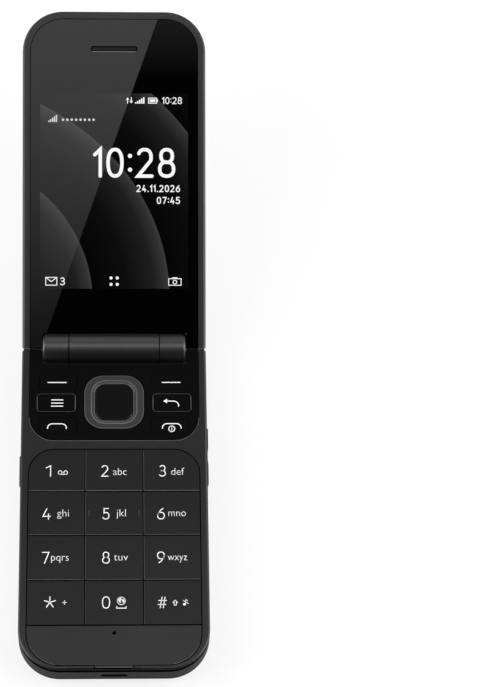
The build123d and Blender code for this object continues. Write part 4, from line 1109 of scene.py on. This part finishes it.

# %% [markdown]
# The ring and the keys beside it move in one panel, so their strips of painted shade lie deeper,
# each below the whole travel of what is above it. A wide ring of painted shade darkens the gap over
# the metal domes in the ring's middle. Below the number keys a disc of painted shade lies in the microphone's hole.
# %% Painted shade below the upper keys
RING_GAP_LEVEL, KEY_GAP_LEVEL, DOME_LEVEL = 10.42, 10.22, 10.02  # millimetres above the rest
SHADE_STRIP_THICK = 0.02
UPPER_KEYS = ("left_soft_key", "right_soft_key", "menu_key", "back_key", "call_key", "end_key")
ring_gap = line_round(ring_box, RING_CORNER, -0.165, 0.26, 10)
painted_shade_on_base("ring_gap_seal", [ring_gap], RING_GAP_LEVEL, SHADE_STRIP_THICK)
key_gaps = [line_round(paper_box(node), KEY_CORNER, -0.155, 0.26) for node in UPPER_KEYS]
painted_shade_on_base("upper_key_seals", key_gaps, KEY_GAP_LEVEL, SHADE_STRIP_THICK)
dome_film = line_round(centre_box, CENTRE_CORNER, -0.125, 0.9, 10)
painted_shade_on_base("dome_film", [dome_film], DOME_LEVEL, SHADE_STRIP_THICK)
MICROPHONE = (0, -89.15)
painted_shade_on_base("microphone_felt", [dot(*MICROPHONE, 0.52, 24)], KEY_TOP - 0.3)
print("seals: ring,", len(key_gaps), "keys, domes and microphone")

# %% [markdown]
# The front frame and the rear shell meet in a recess all round the base, and a black band of
# painted shade fills it. The last strips of painted shade are at the hinge: a strip at each end
# of the barrel, and two dark rings between the knuckles, which are turned rings on the hinge axis.
# %% Painted shade in the shell's recess and at the hinge
SHELL_HALF, SHELL_END, SHELL_CORNER = 27.2, -100.05, 12.0
SHELL_START = -2.0
BAND_LOW, BAND_HIGH, BAND_IN = 9.15, FACE_TOP - 0.65, 0.27  # the recess between the two shells
SEAM_START, SEAM_END = 21.6, 26.6
SHADE_RING_START, SHADE_RING_END = 13.26, 13.44
SHADE_RING_BORE, SHADE_RING_R = 3.1, 4.2


def shell_line(inset):
    """The base's outline in plan, from one side round the near end to the other."""
    half, end, radius = SHELL_HALF - inset, SHELL_END + inset, SHELL_CORNER - inset
    right = arc(half - radius, end + radius, radius, radius, 0, -90, 14)
    left = arc(radius - half, end + radius, radius, radius, -90, -180, 14)
    return [(half, SHELL_START), *right, *left, (-half, SHELL_START)]


def shade_ring(name, x0, x1, inner, outer, sides=48):
    """A ring of painted shade on the hinge axis, between two distances across."""
    points = []
    for x in (x0, x1):
        for radius in (inner, outer):
            for step in range(sides):
                a = tau * step / sides
                points.append(HINGE + Vector((x, radius * cos(a), radius * sin(a))) * MM)
    faces = []
    for i in range(sides):
        j = (i + 1) % sides
        for a, b in ((0, 1), (1, 3), (3, 2), (2, 0)):
            faces.append((a * sides + i, a * sides + j, b * sides + j, b * sides + i))
    piece = mesh_object(name, points, faces)
    face_outwards(piece.data)
    piece.data.materials.append(painted_shade)
    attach(piece, BODIES["base_front_frame"])


band = [stroke(shell_line(BAND_IN), 0.05)]
painted_shade_on_base("parting_band", band, BAND_LOW, BAND_HIGH - BAND_LOW)
seam = [stroke([(side * SEAM_START, 0), (side * SEAM_END, 0)], 0.3) for side in (-1, 1)]
painted_shade_on_base("hinge_seam_seal", seam, FACE_TOP - 0.35)
for label, side in (("left", -1), ("right", 1)):
    x0, x1 = sorted((side * SHADE_RING_START, side * SHADE_RING_END))
    shade_ring(f"{label}_knuckle_washer", x0, x1, SHADE_RING_BORE, SHADE_RING_R)
print("seals: band, seam and washers")

# %% [markdown]
# The inner picture has the marks that such a phone shows at rest: a row of small signs at the
# top, a large clock, the date below it, and three choices at the foot. They are plain numbers
# and signs, with no words. All of it lies just under the reflection.
# %% Inner picture's marks
def screen_place(x, y, h):
    """Paper to the inner window's face: y up on the paper is away from the hinge."""
    return on_lid(x, y, WINDOW_FACE + h)


def signal(x, y, width, height, count=5):
    """Rising bars."""
    step = width / count
    bar = 0.72 * step
    return [box_fill(x + i * step, y, x + i * step + bar, y + height * (i + 1) / count) for i in range(count)]


status = signal(6.2, 73.2, 3.0, 1.9)
status += [
    stroke([(10.25, 73.35), (12.65, 73.35), (12.65, 74.85), (10.25, 74.85)], 0.26, True),
    box_fill(10.6, 73.7, 12.3, 74.5),
    box_fill(12.78, 73.8, 13.05, 74.4),
    stroke([(4.0, 73.3), (4.0, 74.6)], 0.26),
    fill([(3.5, 74.3), (4.5, 74.3), (4.0, 75.0)]),
    stroke([(5.1, 73.7), (5.1, 75.0)], 0.26),
    fill([(4.6, 74.0), (5.6, 74.0), (5.1, 73.25)]),
]
status += figures("10:28", 20.2, 73.1, 2.05, 1.27, 0.25, 0.3)
network = signal(-19.6, 67.6, 2.8, 2.1)
network += [dot(-15.2 + 1.3 * i, 68.3, 0.38) for i in range(8)]
clock = figures("10:28", 18.2, 51.0, 8.95, 5.15, 1.02, 1.3)
date = figures("24.11.2026", 19.6, 46.75, 2.1, 1.28, 0.31, 0.36)
date += figures("07:45", 19.6, 43.2, 2.1, 1.28, 0.31, 0.36)
choices = [dot(x, y, 0.46) for x in (-0.93, 0.93) for y in (19.2, 21.1)]
choices += [
    stroke([(-20.3, 18.95), (-17.0, 18.95), (-17.0, 21.25), (-20.3, 21.25)], 0.24, True),
    stroke([(-20.3, 21.25), (-18.65, 20.0), (-17.0, 21.25)], 0.24),
    stroke([(16.2, 18.95), (19.9, 18.95), (19.9, 20.9), (16.2, 20.9)], 0.24, True),
    circle(18.05, 19.9, 0.55, 0.55, 0.24, 16),
    box_fill(17.3, 20.9, 18.8, 21.3),
]
choices += figures("3", -14.6, 18.95, 2.3, 1.35, 0.28, 0.4)
for name, shapes, light in (
    ("status_signs", status, bright), ("network_signs", network, soft), ("clock", clock, bright),
    ("date", date, bright), ("choice_signs", choices, bright),
):
    mark(name, shapes, screen_place, "inner_window", light)
print("inner picture: status, clock, date and choices")

# %% [markdown]
# The earpiece is a slot in the glass with a fine woven mesh behind it. A weave is the same wire
# again and again, so Geometry Nodes lays it: one row of points for each direction, and a wire
# on each point, cut to the slot's length there.
# %% Weave tree
def weave_tree():
    """A node tree that fills a slot with crossed wires: lengths in metres."""
    tree = bpy.data.node_groups.new("slot_weave", "GeometryNodeTree")
    tree.interface.new_socket("Geometry", in_out="OUTPUT", socket_type="NodeSocketGeometry")
    sockets = {}
    for label in ("Length", "Width", "Pitch", "Wire Radius"):
        sockets[label] = tree.interface.new_socket(label, in_out="INPUT", socket_type="NodeSocketFloat")
    sockets["Finish"] = tree.interface.new_socket("Finish", in_out="INPUT", socket_type="NodeSocketMaterial")
    taken, given = tree.nodes.new("NodeGroupInput").outputs, tree.nodes.new("NodeGroupOutput")
    pitch = taken["Pitch"]
    half_width = math_of(tree, "MULTIPLY", taken["Width"], 0.5)
    straight = math_of(tree, "SUBTRACT", math_of(tree, "MULTIPLY", taken["Length"], 0.5), half_width)
    profile = add_node(tree, "GeometryNodeCurvePrimitiveCircle", {"Resolution": 6, "Radius": taken["Wire Radius"]})
    joined = tree.nodes.new("GeometryNodeJoinGeometry")

    def slot_edge(distance):
        """How far the slot's round end reaches, at a distance from the round's middle."""
        squares = [math_of(tree, "MULTIPLY", value, value) for value in (half_width, distance)]
        return math_of(tree, "SQRT", math_of(tree, "SUBTRACT", *squares))

    for axis, span in ((0, "Length"), (1, "Width")):
        count = math_of(tree, "FLOOR", math_of(tree, "DIVIDE", taken[span], pitch))
        length = math_of(tree, "MULTIPLY", math_of(tree, "SUBTRACT", count, 1), pitch)
        first = add_node(tree, "ShaderNodeCombineXYZ", {axis: math_of(tree, "MULTIPLY", length, -0.5)})
        offset = add_node(tree, "ShaderNodeCombineXYZ", {axis: pitch})
        row = add_node(tree, "GeometryNodeMeshLine", {
            "Count": count, "Start Location": first.outputs["Vector"], "Offset": offset.outputs["Vector"],
        })
        place = add_node(tree, "GeometryNodeInputPosition").outputs["Position"]
        parts = add_node(tree, "ShaderNodeSeparateXYZ", {"Vector": place}).outputs
        away = math_of(tree, "ABSOLUTE", parts[axis])
        if axis == 0:  # wires across the slot, shorter in its round ends
            reach = slot_edge(math_of(tree, "MAXIMUM", math_of(tree, "SUBTRACT", away, straight), 0.0))
        else:
            reach = math_of(tree, "ADD", straight, slot_edge(away))
        half = (0, 1, 0) if axis == 0 else (1, 0, 0)
        wire = add_node(tree, "GeometryNodeCurvePrimitiveLine", {"Start": tuple(-v for v in half), "End": half})
        tube = add_node(tree, "GeometryNodeCurveToMesh", {
            "Curve": wire.outputs["Curve"], "Profile Curve": profile.outputs["Curve"], "Fill Caps": True,
        })
        scale = add_node(tree, "ShaderNodeCombineXYZ", {axis: 1, 1 - axis: reach, 2: 1})
        laid = add_node(tree, "GeometryNodeInstanceOnPoints", {
            "Points": row.outputs["Mesh"], "Instance": tube.outputs["Mesh"], "Scale": scale.outputs["Vector"],
        })
        tree.links.new(laid.outputs["Instances"], joined.inputs["Geometry"])
    real = add_node(tree, "GeometryNodeRealizeInstances", {"Geometry": joined.outputs["Geometry"]})
    coat = add_node(tree, "GeometryNodeSetMaterial", {
        "Geometry": real.outputs["Geometry"], "Material": taken["Finish"],
    })
    tree.links.new(coat.outputs["Geometry"], given.inputs["Geometry"])
    return tree, {label: socket.identifier for label, socket in sockets.items()}


tree, names = weave_tree()
print("weave tree:", len(tree.nodes), "nodes")

# %% [markdown]
# The tree runs once, on a mesh of a single point that is then thrown away. Its result is kept as
# a plain mesh and carried into the slot, a little below the face of the glass.
# %% Earpiece weave
EAR_ALONG, EAR_LENGTH, EAR_WIDTH = 89.6, 13.8, 1.4
WEAVE_PITCH, WIRE_R = 0.24, 0.05
WEAVE_DEPTH = 0.18  # below the glass's face
seedbed = mesh_object("weave_source", [(0, 0, 0)], [])
modifier = seedbed.modifiers.new("weave", "NODES")
modifier.node_group = tree
for label, value in (
    ("Length", EAR_LENGTH * MM), ("Width", EAR_WIDTH * MM),
    ("Pitch", WEAVE_PITCH * MM), ("Wire Radius", WIRE_R * MM),
    ("Finish", grained("woven_wire", grey(0.008), grey(0.012), (0.45, 0.55), 9000, 60, 0.0, 0.15)),
):
    modifier[names[label]] = value
bpy.context.view_layer.update()
woven = bpy.data.meshes.new_from_object(seedbed.evaluated_get(bpy.context.evaluated_depsgraph_get()))
bpy.data.objects.remove(seedbed)
for vertex in woven.vertices:
    x, y, z = vertex.co / MM
    vertex.co = on_lid(x, EAR_ALONG + y, WINDOW_FACE - WEAVE_DEPTH + z)
face_outwards(woven)
weave = link(bpy.data.objects.new("earpiece_weave", woven))
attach(weave, BODIES["earpiece_mesh"])
print("weave:", len(woven.polygons), "faces")

# %% [markdown]
# A black lip of painted shade lines the slot, and its lower edge carries one painted highlight,
# where the edge of cut glass would catch the light.
# %% Earpiece: painted shade and highlight
LIP_LENGTH, LIP_WIDTH, LIP_INSET = 14.0, 1.5, 0.12


def stadium(length, width, inset, steps=10):
    """Points round a slot with round ends, in the inner window's paper."""
    radius, reach = width / 2 - inset, length / 2 - width / 2
    right = arc(reach, EAR_ALONG, radius, radius, -90, 90, steps)
    return right + arc(-reach, EAR_ALONG, radius, radius, 90, 270, steps)


# Painted shade round the slot.
lip = [stroke(stadium(LIP_LENGTH, LIP_WIDTH, LIP_INSET), 0.3, True)]
mark("earpiece_lip", lip, screen_place, "earpiece_mesh", painted_shade)
# A painted highlight along the slot's lower edge.
lower_lip = [stroke([(-6.4, EAR_ALONG - 0.86), (6.4, EAR_ALONG - 0.86)], 0.16)]
mark("earpiece_lower_edge", lower_lip, screen_place, "earpiece_mesh", bevel_light)
print("lip:", LIP_LENGTH, "mm long")

# %% [markdown]
# The outer picture is read with the phone shut and the hinge at the top, so its paper is
# turned over: up on it is towards the hinge.
# %% Outer picture's marks
OUTER_LEVEL = -6.95  # the outer glass's face, from the hinge axis


def outer_place(x, y, h):
    """Paper to the outer window's face."""
    return on_lid(x, -y, OUTER_LEVEL - h)


outer_clock = figures("10:28", 8.75, -31.2, 5.95, 3.5, 0.76, 1.15)
outer_date = figures("24.11.2026", 4.95, -36.1, 1.5, 0.99, 0.19, 0.26)
mark("outer_clock", outer_clock, outer_place, "outer_window", bright)
mark("outer_date", outer_date, outer_place, "outer_window", soft)
print("outer picture: clock and date")

# %% [markdown]
# At the end the scene is updated once more. The box of all that is visible should still be the CAD
# model's box, because every mark, strip of painted shade and painted highlight lies within the parts or flat on them.
# %% Update the scene
bpy.context.view_layer.update()
